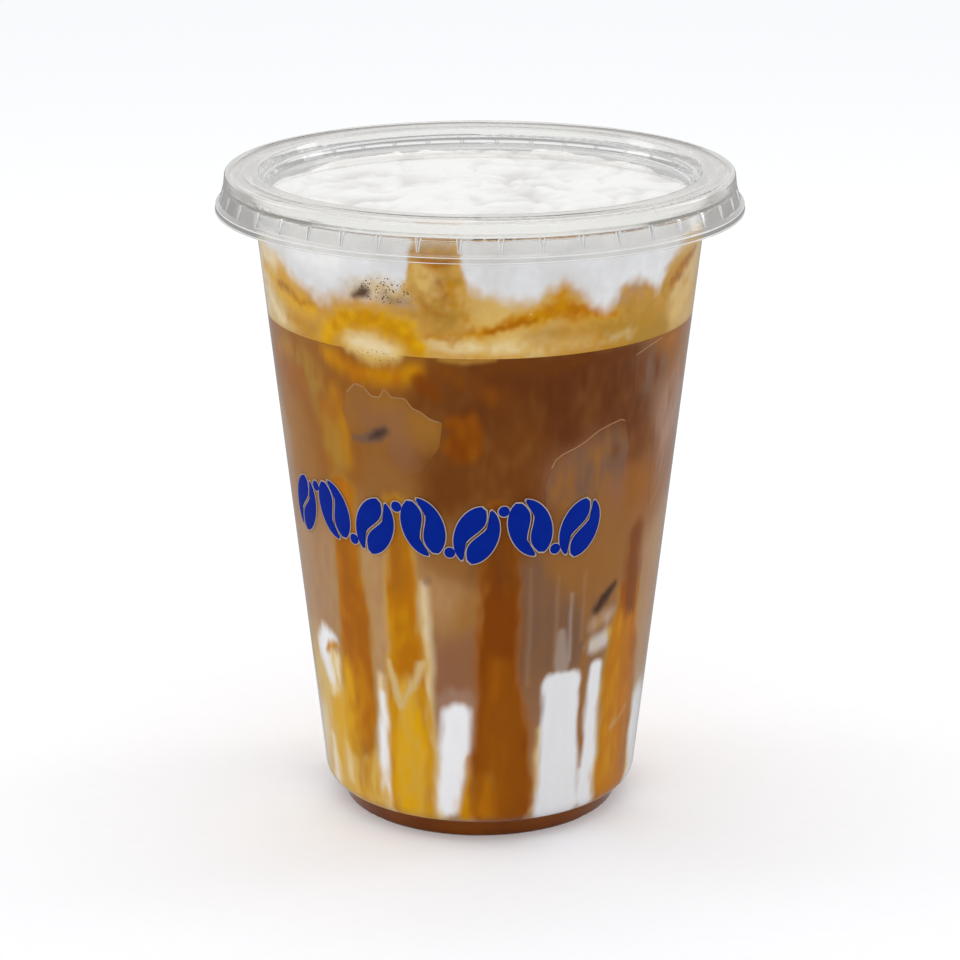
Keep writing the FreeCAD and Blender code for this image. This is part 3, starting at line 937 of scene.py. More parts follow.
def swirls() -> list[Stroke | FoamLine]:
    """Caramel, cream and stained foam between the coffee's top and the lid.

    Returns:
        Strokes with the line of the foam among them.
    """
    return [
        Stroke(
            Tone.YOLK,
            ((-74, 112, 1.2), (-64, 109.6, 1.8), (-55, 106.6, 1.8), (-48, 106.6, 1.4)),
            1.8, Tone.HONEY,
        ),
        Stroke(
            Tone.AMBER,
            ((-64, 110, 0.5), (-58, 109, 0.8), (-53, 106.8, 0.6), (-48, 108, 0.3)),
            1.3, Tone.RUST, 0.8,
        ),
        Stroke(Tone.OLIVE, ((-60, 103.6, 0.6), (-50, 102, 1.0), (-45, 103, 0.6)), 1.5, Tone.GOLD, 0.8),
        Stroke(Tone.PALE_CREAM, ((-72, 105, 1.4), (-64, 102.6, 1.0)), 1.8, strength=0.8),
        Stroke(
            Tone.PALE_CREAM,
            ((-12, 103.4, 1.2), (-3, 103, 1.2), (6, 102.6, 0.8), (16, 102, 0.6)),
            1.8, Tone.BUTTER, 0.7,
        ),
        Stroke(Tone.GOLD, ((-12, 101.4, 0.2), (-2, 101.2, 0.3), (10, 101, 0.2)), 0.8, strength=0.7),
        Stroke(Tone.CREAM, ((20, 102.6, 0.8), (28, 102.8, 0.7)), 1.8, Tone.BUTTER, 0.6),
        Stroke(Tone.PALE_CREAM, ((32, 101.8, 0.3), (42, 102.6, 0.6)), 1.8, Tone.CREAM, 0.55),
        Stroke(Tone.CREAM, ((60, 104, 0.8), (70, 107, 1.6)), 2.2, Tone.BUTTER, 0.7),
        Stroke(
            Tone.STAIN,
            ((14, 105, 0.6), (28, 105.4, 1.2), (36, 106, 1.4), (54, 107.6, 1.6)),
            2.2, Tone.OLIVE, 0.75,
        ),
        Stroke(
            Tone.AMBER,
            (
                (-13, 104.4, 0.7), (-4, 105.4, 0.7), (4, 106.2, 0.9), (12, 108, 1.3), (20, 109.8, 1.8),
                (26, 108.6, 1.2), (36, 107, 0.6),
            ),
            1.1,
            Tone.GOLD,
            rim=Tone.HONEY,
        ),
        Stroke(Tone.DARK_AMBER, ((2, 105.9, 0.3), (8, 106.8, 0.5), (14, 107.8, 0.4)), 0.7, strength=0.8),
        Stroke(Tone.GOLD, ((20, 110, 1.4), (20.8, 113.6, 1.0)), 1.5, Tone.HONEY),
        Stroke(Tone.OLIVE, ((46, 101.6, 0.5), (53, 102.4, 1.1), (58, 102.8, 0.5)), 1.0),
        Stroke(Tone.STAIN, ((36, 109.6, 1.2), (42, 111.6, 2.2), (46, 110.5, 1.4)), 2.0, Tone.TAN),
        Stroke(Tone.STAIN, ((54, 110, 1.6), (60, 112.4, 2.0), (68, 114.4, 1.4)), 1.8, Tone.OLIVE),
        Stroke(Tone.RUST, ((58, 110.6, 0.9), (64, 112.4, 1.4), (72, 115.2, 0.6)), 1.4, Tone.AMBER, 0.85),
        FoamLine(
            (
                (-180, 112), (-168, 109), (-155, 113.5), (-140, 110), (-128, 115), (-112, 109.5),
                (-100, 113), (-80, 117), (-70, 115.5), (-62, 114), (-55, 112), (-50, 110.6),
                (-46, 109.6), (-42, 109), (-37, 110.4), (-33, 111.6), (-26, 111.2), (-21, 112),
                (-18.5, 114), (-17, 122), (-16, 130), (-6, 130), (-4.6, 118), (-3, 114), (1, 111.6),
                (14, 111.4), (17, 113.2), (21, 114.4), (25, 112.6), (30, 110), (33, 109), (36, 110),
                (39, 112.6), (43, 113.6), (47, 112.4), (50, 110.4), (52, 110.6), (55, 113.5),
                (60, 117), (70, 119), (80, 118), (92, 112), (104, 109), (118, 114), (132, 110),
                (146, 115), (160, 109), (172, 113.5), (180, 112),
            )
        ),
        # Whiter foam on the left of the side, with less painted shade.
        Stroke(
            Tone.FOAM,
            ((-52, 118, 2.4), (-38, 117, 2.8), (-30, 118.5, 1.6)),
            3.2, Tone.MILK_SHADE, 0.75,
        ),
        Stroke(
            Tone.GREY_MILK,
            ((-36, 112.6, 0.8), (-26, 113.2, 1.8), (-18, 112, 1.6)),
            1.8, Tone.CREAM, 0.85,
        ),
        Stroke(Tone.TAN, ((-24, 111.6, 0.8), (-17, 111, 1.2)), 1.4, Tone.SMOKE, 0.6),
        Stroke(
            Tone.SMOKE,
            ((-33, 111.2, 0.6), (-30.4, 112.2, 1.2), (-29, 112.6, 0.6)),
            0.9, Tone.SHADOW, wobble=0.5,
        ),
        Stroke(
            Tone.STAIN,
            ((-9, 107, 3.0), (-11.6, 112, 3.4), (-11.4, 119, 3.4), (-11, 124, 3.0)),
            1.9, Tone.OLIVE, wobble=2.4,
        ),
        Stroke(
            Tone.CREAM,
            ((-8.6, 110, 0.6), (-12, 113, 1.2), (-12.6, 116.4, 0.9)),
            1.8, Tone.STAIN, 0.6, 1.6,
        ),
        Stroke(
            Tone.BUTTER,
            ((-14.5, 112, 0.8), (-16, 116, 1.3), (-14, 120, 0.8)),
            1.6, Tone.STAIN, 0.8, 2.2,
        ),
        Stroke(
            Tone.GOLD,
            ((-7, 116, 0.8), (-7.4, 112, 0.9), (-5.6, 108.6, 0.5)),
            1.1, Tone.OLIVE, 0.9, 1.6,
        ),
        Stroke(
            Tone.RUST,
            ((-11, 115.5, 0.3), (-9.4, 112.6, 0.5), (-10.4, 109.6, 0.3)),
            1.0, Tone.AMBER, 0.6, 2.0,
        ),
        Stroke(Tone.AMBER, ((-16, 119.6, 0.5), (-11, 118.8, 0.9), (-6.6, 119.8, 0.5)), 1.0, Tone.RUST),
        Stroke(Tone.AMBER, ((-15, 112, 0.2), (-13.6, 109, 0.6), (-8.6, 108.6, 0.3)), 0.9, Tone.RUST, 0.7),
        Stroke(Tone.STAIN, ((-21, 109.2, 1.0), (-15, 108, 1.4), (-14.5, 104, 0.8)), 1.4, Tone.OLIVE, 0.8),
        Stroke(
            Tone.YOLK,
            (
                (-43.5, 100.2, 1.5), (-41.5, 103.4, 1.9), (-36, 106, 1.8), (-28, 106.9, 1.7),
                (-20.5, 105.6, 2.0), (-15.6, 101.4, 1.8),
            ),
            1.2,
            Tone.GOLD,
            rim=Tone.HONEY,
        ),
    ]


def cream_eye() -> list[Stroke]:
    """The stained line along the coffee's top, and the oval of cream that crosses it.

    Returns:
        Strokes that the coffee and the head share, so that they meet.
    """
    line = COFFEE_LINE_MM
    return [
        Stroke(Tone.SIENNA, ((-180, line, 0.1), (0, line, 0.1)), 0.9, Tone.OLIVE, 0.3, 0.5),
        Stroke(Tone.SIENNA, ((0, line, 0.1), (180, line, 0.1)), 0.9, Tone.OLIVE, 0.3, 0.5),
        Stroke(Tone.BUTTER, ((-35.4, 101.8, 1.6), (-29, 101.1, 2.9), (-22.6, 100.9, 1.7)), 1.3, wobble=0.5),
        Stroke(
            Tone.PALE_CREAM,
            ((-34.4, 102.2, 0.9), (-29, 102, 1.5), (-24, 101.4, 0.9)),
            1.5, strength=0.85, wobble=0.5,
        ),
        Stroke(Tone.STAIN, ((-32, 98.8, 0.7), (-24, 98.6, 0.8)), 1.4, strength=0.5),
    ]


@dataclass
class BackRecipe:
    """Runs, milk and ground tones for the half that the front list doesn't reach."""

    seed: int = 11
    edge: float = 84.0
    runs: int = 6
    rng: random.Random = field(init=False)

    def __post_init__(self) -> None:
        """Start the random numbers."""
        self.rng = random.Random(self.seed)

    def spots(self, count: int) -> list[float]:
        """Angles spread over the back with some play."""
        pitch = (360 - 2 * self.edge) / count
        return [self.edge + pitch * (k + 0.5 + self.rng.uniform(-0.18, 0.18)) for k in range(count)]

    def anchors(self) -> list[Anchor]:
        """Ground tones in bands of height.

        Returns:
            Anchors over the back half.
        """
        bands = (
            (14, (Tone.CREAM, Tone.TAN, Tone.BUTTER)),
            (36, (Tone.TAN, Tone.MAUVE, Tone.FAWN)),
            (55, (Tone.TAN, Tone.LATTE, Tone.MAUVE)),
            (74, (Tone.WARM_LATTE, Tone.LATTE, Tone.COCOA, Tone.PINK_LATTE_AND_SHEEN)),
            (92, (Tone.COCOA, Tone.RUST, Tone.ESPRESSO, Tone.SMOKE)),
        )
        return [
            Anchor(angle, height + self.rng.uniform(-3, 3), self.rng.choice(tones))
            for height, tones in bands
            for angle in self.spots(9)
        ]

    def run(self, angle: float, tone: Tone, drift: Tone) -> list[Stroke]:
        """One caramel run that fades in high up and widens on its way down.

        Args:
            angle: Degrees from the front.
            tone: Its tone.
            drift: The tone it drifts to.

        Returns:
            The faint upper part, the middle, and the full lower part.
        """
        top = self.rng.uniform(50, 62)
        half = self.rng.uniform(2.4, 3.4)
        high = ((angle - 1, top + 26, half * 0.9), (angle, top - 6, half * 1.1))
        middle = ((angle - 0.5, top + 9, half), (angle + 0.5, top - 12, half * 1.1))
        low = (
            (angle, top, half),
            (angle + 1, 40, half * 1.15),
            (angle, 24, half * 1.5),
            (angle - 1, 7, half * 1.6),
        )
        return [
            Stroke(drift, high, 3.0, Tone.RUST, 0.5),
            Stroke(tone, middle, 2.0, drift, 0.8),
            Stroke(tone, low, 1.1, drift, rim=Tone.OLIVE),
        ]

    def milk(self, angle: float) -> Stroke:
        """One white patch with a rounded top.

        Args:
            angle: Degrees from the front.

        Returns:
            The patch.
        """
        top = self.rng.uniform(20, 34)
        half = self.rng.uniform(2.0, 4.4)
        path = ((angle, top, half * 0.9), (angle + 1, top / 2, half), (angle, 7, half * 0.9))
        return Stroke(Tone.MILK, path, 1.0, Tone.MILK_SHADE, wobble=0.6)

    def strokes(self) -> list[Stroke]:
        """Milk patches with caramel runs between them.

        Returns:
            Strokes over the back half.
        """
        pairs = ((Tone.AMBER, Tone.DARK_AMBER), (Tone.GOLD, Tone.YOLK), (Tone.UMBER, Tone.SIENNA))
        made = []
        for index, angle in enumerate(self.spots(self.runs)):
            made.append(Stroke(Tone.HONEY, ((angle - 8, 20, 2), (angle - 9, 7, 4)), 2.0, Tone.PALE_CREAM))
            made.append(self.milk(angle + self.rng.uniform(11, 15)))
            made.extend(self.run(angle, *pairs[index % len(pairs)]))
            thread = ((angle + 6, 46, 0.3), (angle + 7, 8, 1.4))
            made.append(Stroke(Tone.CREAM, thread, 0.9, Tone.PALE_CREAM))
        for angle in self.spots(4):
            path = ((angle - 4, 90, 2), (angle + 4, 84, 2.4))
            made.append(Stroke(Tone.SMOKE, path, 2.6, Tone.LATTE, 0.8))
        return made


# ---- Meshes --------------------------------------------------------------------------------
def new_piece(
    name: str,
    vertices: np.ndarray,
    faces: list[tuple[int, ...]],
    material: bpy.types.Material,
) -> bpy.types.Object:
    """Make a smooth mesh object with sharp corners kept.

    Args:
        name: The piece's name.
        vertices: One row of x, y, z for each.
        faces: Vertex numbers of each face.
        material: Its finish.

    Returns:
        The linked object.
    """
    mesh = bpy.data.meshes.new(name)
    mesh.from_pydata(vertices.tolist(), [], faces)
    mesh.materials.append(material)
    mesh.shade_smooth()
    mesh.set_sharp_from_angle(angle=math.radians(50))
    piece = bpy.data.objects.new(name, mesh)
    bpy.context.scene.collection.objects.link(piece)
    return piece


def ring_faces(columns: int, rows: int, base: int = 0) -> list[tuple[int, ...]]:
    """Quads between stacked rings of vertices, facing out when the rings climb.

    Args:
        columns: Vertices in a ring.
        rows: Number of rings.
        base: Number of the first vertex.

    Returns:
        Four vertex numbers for each quad.
    """
    made = []
    for row in range(rows - 1):
        low = base + row * columns
        high = low + columns
        for k in range(columns):
            following = (k + 1) % columns
            made.append((low + k, low + following, high + following, high + k))
    return made


def fan(centre: int, first: int, columns: int, upward: bool) -> list[tuple[int, ...]]:
    """Triangles from a middle vertex to a ring.

    Args:
        centre: Number of the middle vertex.
        first: Number of the ring's first vertex.
        columns: Vertices in the ring.
        upward: Whether the triangles face up.

    Returns:
        Three vertex numbers for each triangle.
    """
    pairs = [(first + k, first + (k + 1) % columns) for k in range(columns)]
    return [(centre, a, b) if upward else (centre, b, a) for a, b in pairs]


@dataclass
class Layer:
    """One band of the drink, just into the wall, painted on its side."""

    name: str
    node: str
    slot: str
    low: float
    high: float
    painter: Painter
    columns: int = 720
    row: float = 0.31 * MM

    def build(self, bore: Bore, finish: bpy.types.Material) -> bpy.types.Object:
        """Make the band and let it stand for its node.

        Args:
            bore: The walls of the cup.
            finish: The drink's material.

        Returns:
            The finished piece.
        """
        rows = max(2, round((self.high - self.low) / self.row) + 1)
        heights = np.linspace(self.low, self.high, rows)
        radii = bore.filled(np.clip(heights, self.low + 0.01 * MM, self.high - 0.01 * MM))
        angle = np.tile(np.arange(self.columns) * 360 / self.columns, rows)
        points = on_cup(angle, np.repeat(radii, self.columns), np.repeat(heights, self.columns))
        middles = np.array([[0, 0, self.low], [0, 0, self.high]])
        top = (rows - 1) * self.columns
        faces = ring_faces(self.columns, rows)
        faces += fan(top + self.columns, 0, self.columns, False)
        faces += fan(top + self.columns + 1, top, self.columns, True)
        piece = new_piece(self.name, np.concatenate([points, middles]), faces, finish)
        self.painter.paint(piece, np.append(angle, [0, 0]))
        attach(piece, BODY)
        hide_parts(self.node)
        return piece


@dataclass
class Foam:
    """Curdled milk foam: a painted side against the wall and a lumpy top under the lid's panel."""

    low: float
    panel: float
    painter: Painter
    columns: int = 640
    side_rows: int = 26
    top_rings: int = 104
    shoulder: float = 40.0 * MM
    edge_drop: float = 3.4 * MM
    lump: float = 2.2 * MM
    clearance: float = 0.15 * MM

    def curd(self, x: float, y: float) -> float:
        """Height of the curds at a place across the cup.

        Args:
            x: Metres from the axis.
            y: Metres from the axis.

        Returns:
            From 0 in a crevice to 1 on top.
        """
        bend = noise.noise_vector((x * 110, y * 110, 3.7)) * 1.4
        big = noise.voronoi((x * 115 + bend.x, y * 150 + bend.y, 0.4))[0]
        small = noise.voronoi((x * 270 + bend.y * 2, y * 330 + bend.x * 2, 5.1))[0]
        dome = 1 - min(1.0, big[0] * 1.1) ** 1.7
        bead = 1 - min(1.0, small[0] * 1.1) ** 1.7
        swell = noise.noise((x * 60, y * 60, 9.0))
        return max(0.0, min(1.0, 0.62 * dome + 0.26 * bead + 0.25 * swell + 0.02))

    def build(self, bore: Bore, finish: bpy.types.Material) -> bpy.types.Object:
        """Make the foam and let it stand for its node.

        Args:
            bore: The walls of the cup.
            finish: The foam's material.

        Returns:
            The finished piece.
        """
        ceiling = self.panel - self.clearance
        rim = bore.inside(ceiling - self.edge_drop)
        angles = np.arange(self.columns) * 360 / self.columns
        shares = (np.arange(self.top_rings) / self.top_rings) ** 0.85
        rings, curds = [], []
        for share in shares:
            radius = rim * (1 - share)
            flat = on_cup(angles, np.full(self.columns, radius), np.zeros(self.columns))
            curd = np.array([self.curd(x, y) for x, y, _ in flat])
            past = max(0.0, (radius - self.shoulder) / (rim - self.shoulder))
            heights = ceiling - self.edge_drop * past**1.5 - self.lump * (1 - curd)
            rings.append(np.stack([flat[:, 0], flat[:, 1], heights], -1))
            curds.append(curd)
        edge = rings[0][:, 2]
        side = []
        for step in np.linspace(0, 1, self.side_rows)[:-1]:
            heights = self.low + (edge - self.low) * step
            side.append(on_cup(angles, bore.filled(heights), heights))
        rings[0] = on_cup(angles, bore.filled(edge), edge)
        middles = np.array([[0, 0, self.low], [0, 0, ceiling - self.lump * 0.3]])
        rows = len(side) + len(rings)
        last = (rows - 1) * self.columns
        faces = ring_faces(self.columns, rows)
        faces += fan(last + self.columns, 0, self.columns, False)
        faces += fan(last + self.columns + 1, last, self.columns, True)
        points = np.concatenate(side + rings + [middles])
        piece = new_piece("milk_foam", points, faces, finish)
        self.painter.paint(piece, np.append(np.tile(angles, rows), [0, 0]))
        self.whiten(piece, len(side) * self.columns, np.concatenate(curds))
        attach(piece, BODY)
        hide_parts("foam")
        return piece

    def whiten(self, piece: bpy.types.Object, start: int, curds: np.ndarray) -> None:
        """Give the top its white, with painted shade in the crevices, and keep the painted side.

        Args:
            piece: The foam.
            start: First vertex of the top.
            curds: Curd height at each vertex of the top.
        """
        layer = piece.data.color_attributes["tint"]
        colour = np.empty(len(piece.data.vertices) * 4, np.float32)
        layer.data.foreach_get("color", colour)
        colour = colour.reshape(-1, 4)
        end = start + len(curds)
        # Painted shade: the lower the curd, the greyer the foam.
        share = np.clip((curds - 0.12) * 2.0, 0, 1)[:, None]
        white = Tone.CREVICE_SHADE.linear() * (1 - share) + Tone.FOAM.linear() * share
        ring = np.arange(len(curds)) // self.columns
        inward = np.clip((ring - 1) / 6.0, 0, 1)[:, None]
        colour[start:end, :3] = colour[start:end, :3] * (1 - inward) + white * inward
        colour[-1, :3] = Tone.FOAM.linear()
        layer.data.foreach_set("color", colour.ravel())


@dataclass
class Syrup:
    """Dark syrup that fills the stepped foot."""

    source: bpy.types.Object
    reach: float = 0.2 * MM

    def build(self, finish: bpy.types.Material) -> bpy.types.Object:
        """Make the syrup from the frame's own node, grown just into the plastic.

        Args:
            finish: The drink's material.

        Returns:
            The finished piece.
        """
        mesh = self.source.data.copy()
        mesh.name = "syrup_layer"
        piece = bpy.data.objects.new("syrup_layer", mesh)
        bpy.context.scene.collection.objects.link(piece)
        weld(mesh)
        normals = np.array([vertex.normal for vertex in mesh.vertices])
        points = np.array([vertex.co for vertex in mesh.vertices])
        mesh.vertices.foreach_set("co", (points + normals * self.reach).astype(np.float32).ravel())
        mesh.materials.clear()
        mesh.materials.append(finish)
        mesh.update()
        angle = np.degrees(np.arctan2(points[:, 0], -points[:, 1]))
        places = Places.of(points, angle)
        blot = places.blot[:, None]
        set_tint(piece, Tone.MOLASSES.linear() * (1 - blot * 0.5) + Tone.SIENNA.linear() * blot * 0.5)
        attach(piece, BODY)
        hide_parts("syrup")
        return piece


def weld(mesh: bpy.types.Mesh) -> None:
    """Merge doubled vertices of a mesh in place.

    Args:
        mesh: The mesh.
    """
    work = bmesh.new()
    work.from_mesh(mesh)
    bmesh.ops.remove_doubles(work, verts=work.verts, dist=1e-6)
    work.to_mesh(mesh)
    work.free()


# ---- Ice -----------------------------------------------------------------------------------
@dataclass
class IcePatch:
    """One face of an ice cube that leans on the wall, with a painted highlight along its upper edge.

    The outline's points are (angle in degrees, height in mm), and its first points carry the painted
    highlight.
    """

    name: str
    centre: tuple[float, float]
    outline: tuple[tuple[float, float], ...]
    highlight_points: int
    highlight_tone: Tone = Tone.FAWN
    spokes: int = 220
    rings: int = 30
    proud: float = 0.06 * MM
    depth: float = 1.4 * MM

    def border(self) -> np.ndarray:
        """Outline as spokes from the centre.

        Returns:
            Offsets in degrees and mm, one row for each spoke.
        """
        angle, height = self.centre
        closed = list(self.outline) + [self.outline[0]]
        mm_to_degree = 0.66
        steps = 40
        points = []
        for (a0, z0), (a1, z1) in zip(closed, closed[1:]):
            for step in range(steps):
                share = step / steps
                sideways = (a0 + (a1 - a0) * share - angle) * mm_to_degree
                points.append((sideways, z0 + (z1 - z0) * share - height))
        flat = np.array(points)
        turn = np.arctan2(flat[:, 1], flat[:, 0])
        order = np.argsort(turn)
        wanted = np.linspace(-math.pi, math.pi, self.spokes, endpoint=False)
        reach = np.interp(wanted, turn[order], np.hypot(flat[:, 0], flat[:, 1])[order], period=2 * math.pi)
        smooth = (np.roll(reach, 1) + reach * 2 + np.roll(reach, -1)) / 4
        return np.stack([np.cos(wanted) * smooth / mm_to_degree, np.sin(wanted) * smooth], -1)

    def build(self, bore: Bore, painter: Painter, finish: bpy.types.Material) -> bpy.types.Object:
        """Make the patch.

        Args:
            bore: The walls of the cup.
            painter: The painter of the coffee round it.
            finish: The drink's material.

        Returns:
            The finished piece.
        """
        border = self.border()
        shares = 1 - (1 - np.linspace(1, 0, self.rings, endpoint=False)) ** 1.5
        angles, heights = [], []
        for share in shares:
            angles.append(self.centre[0] + border[:, 0] * share)
            heights.append((self.centre[1] + border[:, 1] * share) * MM)
        angle = np.concatenate(angles)
        height = np.concatenate(heights)
        radius = bore.filled(height)
        middle = np.array([self.centre[1] * MM])
        front = on_cup(angle, radius + self.proud, height)
        front_middle = on_cup(np.array([self.centre[0]]), bore.filled(middle) + self.proud, middle)
        back = on_cup(angle[:self.spokes], radius[:self.spokes] - self.depth, height[:self.spokes])
        back_middle = on_cup(np.array([self.centre[0]]), bore.filled(middle) - self.depth, middle)
        points = np.concatenate([back, front, back_middle, front_middle])
        rows = self.rings + 1
        total = rows * self.spokes
        faces = ring_faces(self.spokes, rows)
        faces += fan(total, 0, self.spokes, False)
        faces += fan(total + 1, total - self.spokes, self.spokes, True)
        piece = new_piece(self.name, points, faces, finish)
        # Each face keeps the coffee's painting and adds the ice marks and its painted highlight.
        own = replace(painter, strokes=painter.strokes + ice_marks() + [self.edge()])
        around = np.concatenate([angle[:self.spokes], angle, [self.centre[0]] * 2])
        own.paint(piece, around)
        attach(piece, BODY)
        return piece

    def edge(self) -> Stroke:
        """The painted highlight, a thin pale line along the first points of the outline."""
        path = tuple((angle, height, 0.14) for angle, height in self.outline[:self.highlight_points])
        return Stroke(self.highlight_tone, path, 0.22, Tone.TAN, 0.95, wobble=0.0)


def front_ice() -> list[IcePatch]:
    """Ice faces on the front half.

    Returns:
        Four patches.
    """
    return [
        IcePatch(
            "ice_left",
            (-27, 86),
            (
                (-38, 92), (-35, 94), (-32, 93.5), (-30, 92), (-27.5, 92), (-26, 94), (-24, 92.3),
                (-20, 92.3), (-18, 90.5), (-16, 90), (-13, 88.5), (-10, 88), (-11, 83), (-16, 78),
                (-24, 75), (-32, 77), (-37, 82), (-40, 88),
            ),
            12,
        ),
        IcePatch(
            "ice_middle",
            (33, 75),
            (
                (20, 78.5), (21, 80), (23, 81), (27, 82), (30, 83), (34, 84.7), (38, 85.5), (42, 86),
                (43.5, 85.5), (46, 80), (44, 72), (36, 66), (26, 64), (19, 70), (18.3, 75),
            ),
            9,
        ),
        IcePatch(
            "ice_upper",
            (54, 93.5),
            ((45, 98.2), (50, 99.3), (56, 100.1), (61, 99.3), (63, 93), (59, 87), (50, 86), (45.5, 91)),
            3,
        ),
        # The right face lies in the painted sheen down the right side, and its painted highlight is pink.
        IcePatch(
            "ice_right",
            (64.5, 81),
            (
                (70, 95), (71.6, 88), (71.2, 80), (70, 74), (66, 69), (60, 64.5), (58, 72), (57.5, 84),
                (61, 92), (66, 96),
            ),
            6,
            Tone.PINK_LATTE_AND_SHEEN,
        ),
    ]


def back_ice() -> list[IcePatch]:
    """Ice faces on the back half, from the same few shapes.

    Returns:
        Five patches.
    """
    shape = ((-11, 3), (-7, 6), (-2, 5.4), (3, 7), (8, 6), (12, 3), (11, -5), (3, -9), (-8, -8), (-12, -3))
    spots = ((108, 84, 1.0), (146, 76, 0.85), (-172, 88, 1.0), (-136, 72, 0.9), (-102, 86, 0.95))
    return [
        IcePatch(
            f"ice_back_{index}",
            (angle, height),
            tuple((angle + a * size, height + z * size) for a, z in shape),
            6,
        )
        for index, (angle, height, size) in enumerate(spots, 1)
    ]


# ---- Geometry nodes ------------------------------------------------------------------------
class Tree(NodeBuilder):
    """A geometry node tree with named inputs."""

    def __init__(self, name: str, inputs: dict[str, tuple[str, object]]) -> None:
        """Make the tree.

        Args:
            name: The tree's name.
            inputs: Name to (socket type, default value or None).
        """
        group = bpy.data.node_groups.new(name, "GeometryNodeTree")
        group.interface.new_socket("Geometry", in_out="INPUT", socket_type="NodeSocketGeometry")
        for title, (kind, value) in inputs.items():
            socket = group.interface.new_socket(title, in_out="INPUT", socket_type=kind)
            if value is not None:
                socket.default_value = value
        group.interface.new_socket("Geometry", in_out="OUTPUT", socket_type="NodeSocketGeometry")
        super().__init__(group)
        self.inputs = self.node("NodeGroupInput").outputs

    def finish(self, geometry: bpy.types.NodeSocket) -> None:
        """Link the result to the output."""
        self.node("NodeGroupOutput", {"Geometry": geometry})

    def run(self, host: bpy.types.Object, values: dict[str, object], name: str) -> bpy.types.Object:
        """Run the tree on a host and keep the result as a plain mesh.

        Args:
            host: The mesh that the tree starts from. It is removed.
            values: Values of the named inputs.
            name: The new piece's name.

        Returns:
            The plain mesh object.
        """
        modifier = host.modifiers.new("tree", "NODES")
        modifier.node_group = self.tree
        for item in self.tree.interface.items_tree:
            if item.in_out == "INPUT" and item.name in values:
                modifier[item.identifier] = values[item.name]
        evaluated = host.evaluated_get(bpy.context.evaluated_depsgraph_get())
        mesh = bpy.data.meshes.new_from_object(evaluated)
        mesh.name = name
        host.modifiers.remove(modifier)
        bpy.data.objects.remove(host)
        piece = bpy.data.objects.new(name, mesh)
        bpy.context.scene.collection.objects.link(piece)
        return piece


def wrapped_row_tree() -> Tree:
    """Make the tree that repeats a flat motif in a row and wraps the row round the cup.

    Returns:
        A tree whose host lies flat: x along the row, z up, y out of the wall.
    """
    tree = Tree("wrapped_row", {
        "Count": ("NodeSocketInt", 7),
        "Pitch": ("NodeSocketFloat", 0.010),
        "Tilt": ("NodeSocketFloat", 0.4),
        "Rise": ("NodeSocketFloat", 0.0),
        "Height": ("NodeSocketFloat", 0.066),
        "Middle Angle": ("NodeSocketFloat", 0.0),
        "Radius": ("NodeSocketFloat", 0.0377),
        "Slope": ("NodeSocketFloat", 0.108),
        "Finish": ("NodeSocketMaterial", None),
    })
    taken = tree.inputs
    row = tree.node("GeometryNodeMeshLine", {"Count": taken["Count"], "Offset": (0, 0, 0)})
    index = tree.node("GeometryNodeInputIndex").outputs[0]
    odd = tree.math("MODULO", index, 2.0)
    sign = tree.math("MULTIPLY_ADD", odd, -2.0, 1.0)
    half = tree.math("MULTIPLY", tree.math("SUBTRACT", taken["Count"], 1.0), 0.5)
    along = tree.math("MULTIPLY", tree.math("SUBTRACT", index, half), taken["Pitch"])
    spot = tree.node("ShaderNodeCombineXYZ", {0: along, 2: tree.math("MULTIPLY", sign, taken["Rise"])})
    placed = tree.node("GeometryNodeSetPosition", {"Geometry": row.outputs[0], "Position": spot.outputs[0]})
    lean = tree.node("ShaderNodeCombineXYZ", {1: tree.math("MULTIPLY", sign, taken["Tilt"])})
    copies = tree.node("GeometryNodeInstanceOnPoints", {
        "Points": placed.outputs[0],
        "Instance": taken["Geometry"],
        "Rotation": lean.outputs[0],
    })
    real = tree.node("GeometryNodeRealizeInstances", {"Geometry": copies.outputs[0]})
    place = tree.node("ShaderNodeSeparateXYZ", {0: tree.node("GeometryNodeInputPosition").outputs[0]})
    flat_x, flat_y, flat_z = place.outputs
    angle = tree.math("ADD", tree.math("DIVIDE", flat_x, taken["Radius"]), taken["Middle Angle"])
    radius = tree.math("ADD", tree.math("MULTIPLY_ADD", flat_z, taken["Slope"], taken["Radius"]), flat_y)
    wrapped = tree.node("ShaderNodeCombineXYZ", {
        0: tree.math("MULTIPLY", radius, tree.math("SINE", angle)),
        1: tree.math("MULTIPLY", radius, tree.math("MULTIPLY", tree.math("COSINE", angle), -1.0)),
        2: tree.math("ADD", flat_z, taken["Height"]),
    })
    bent = tree.node("GeometryNodeSetPosition", {
        "Geometry": real.outputs[0],
        "Position": wrapped.outputs[0],
    })
    dressed = tree.node("GeometryNodeSetMaterial", {
        "Geometry": bent.outputs[0],
        "Material": taken["Finish"],
    })
    tree.finish(dressed.outputs[0])
    return tree


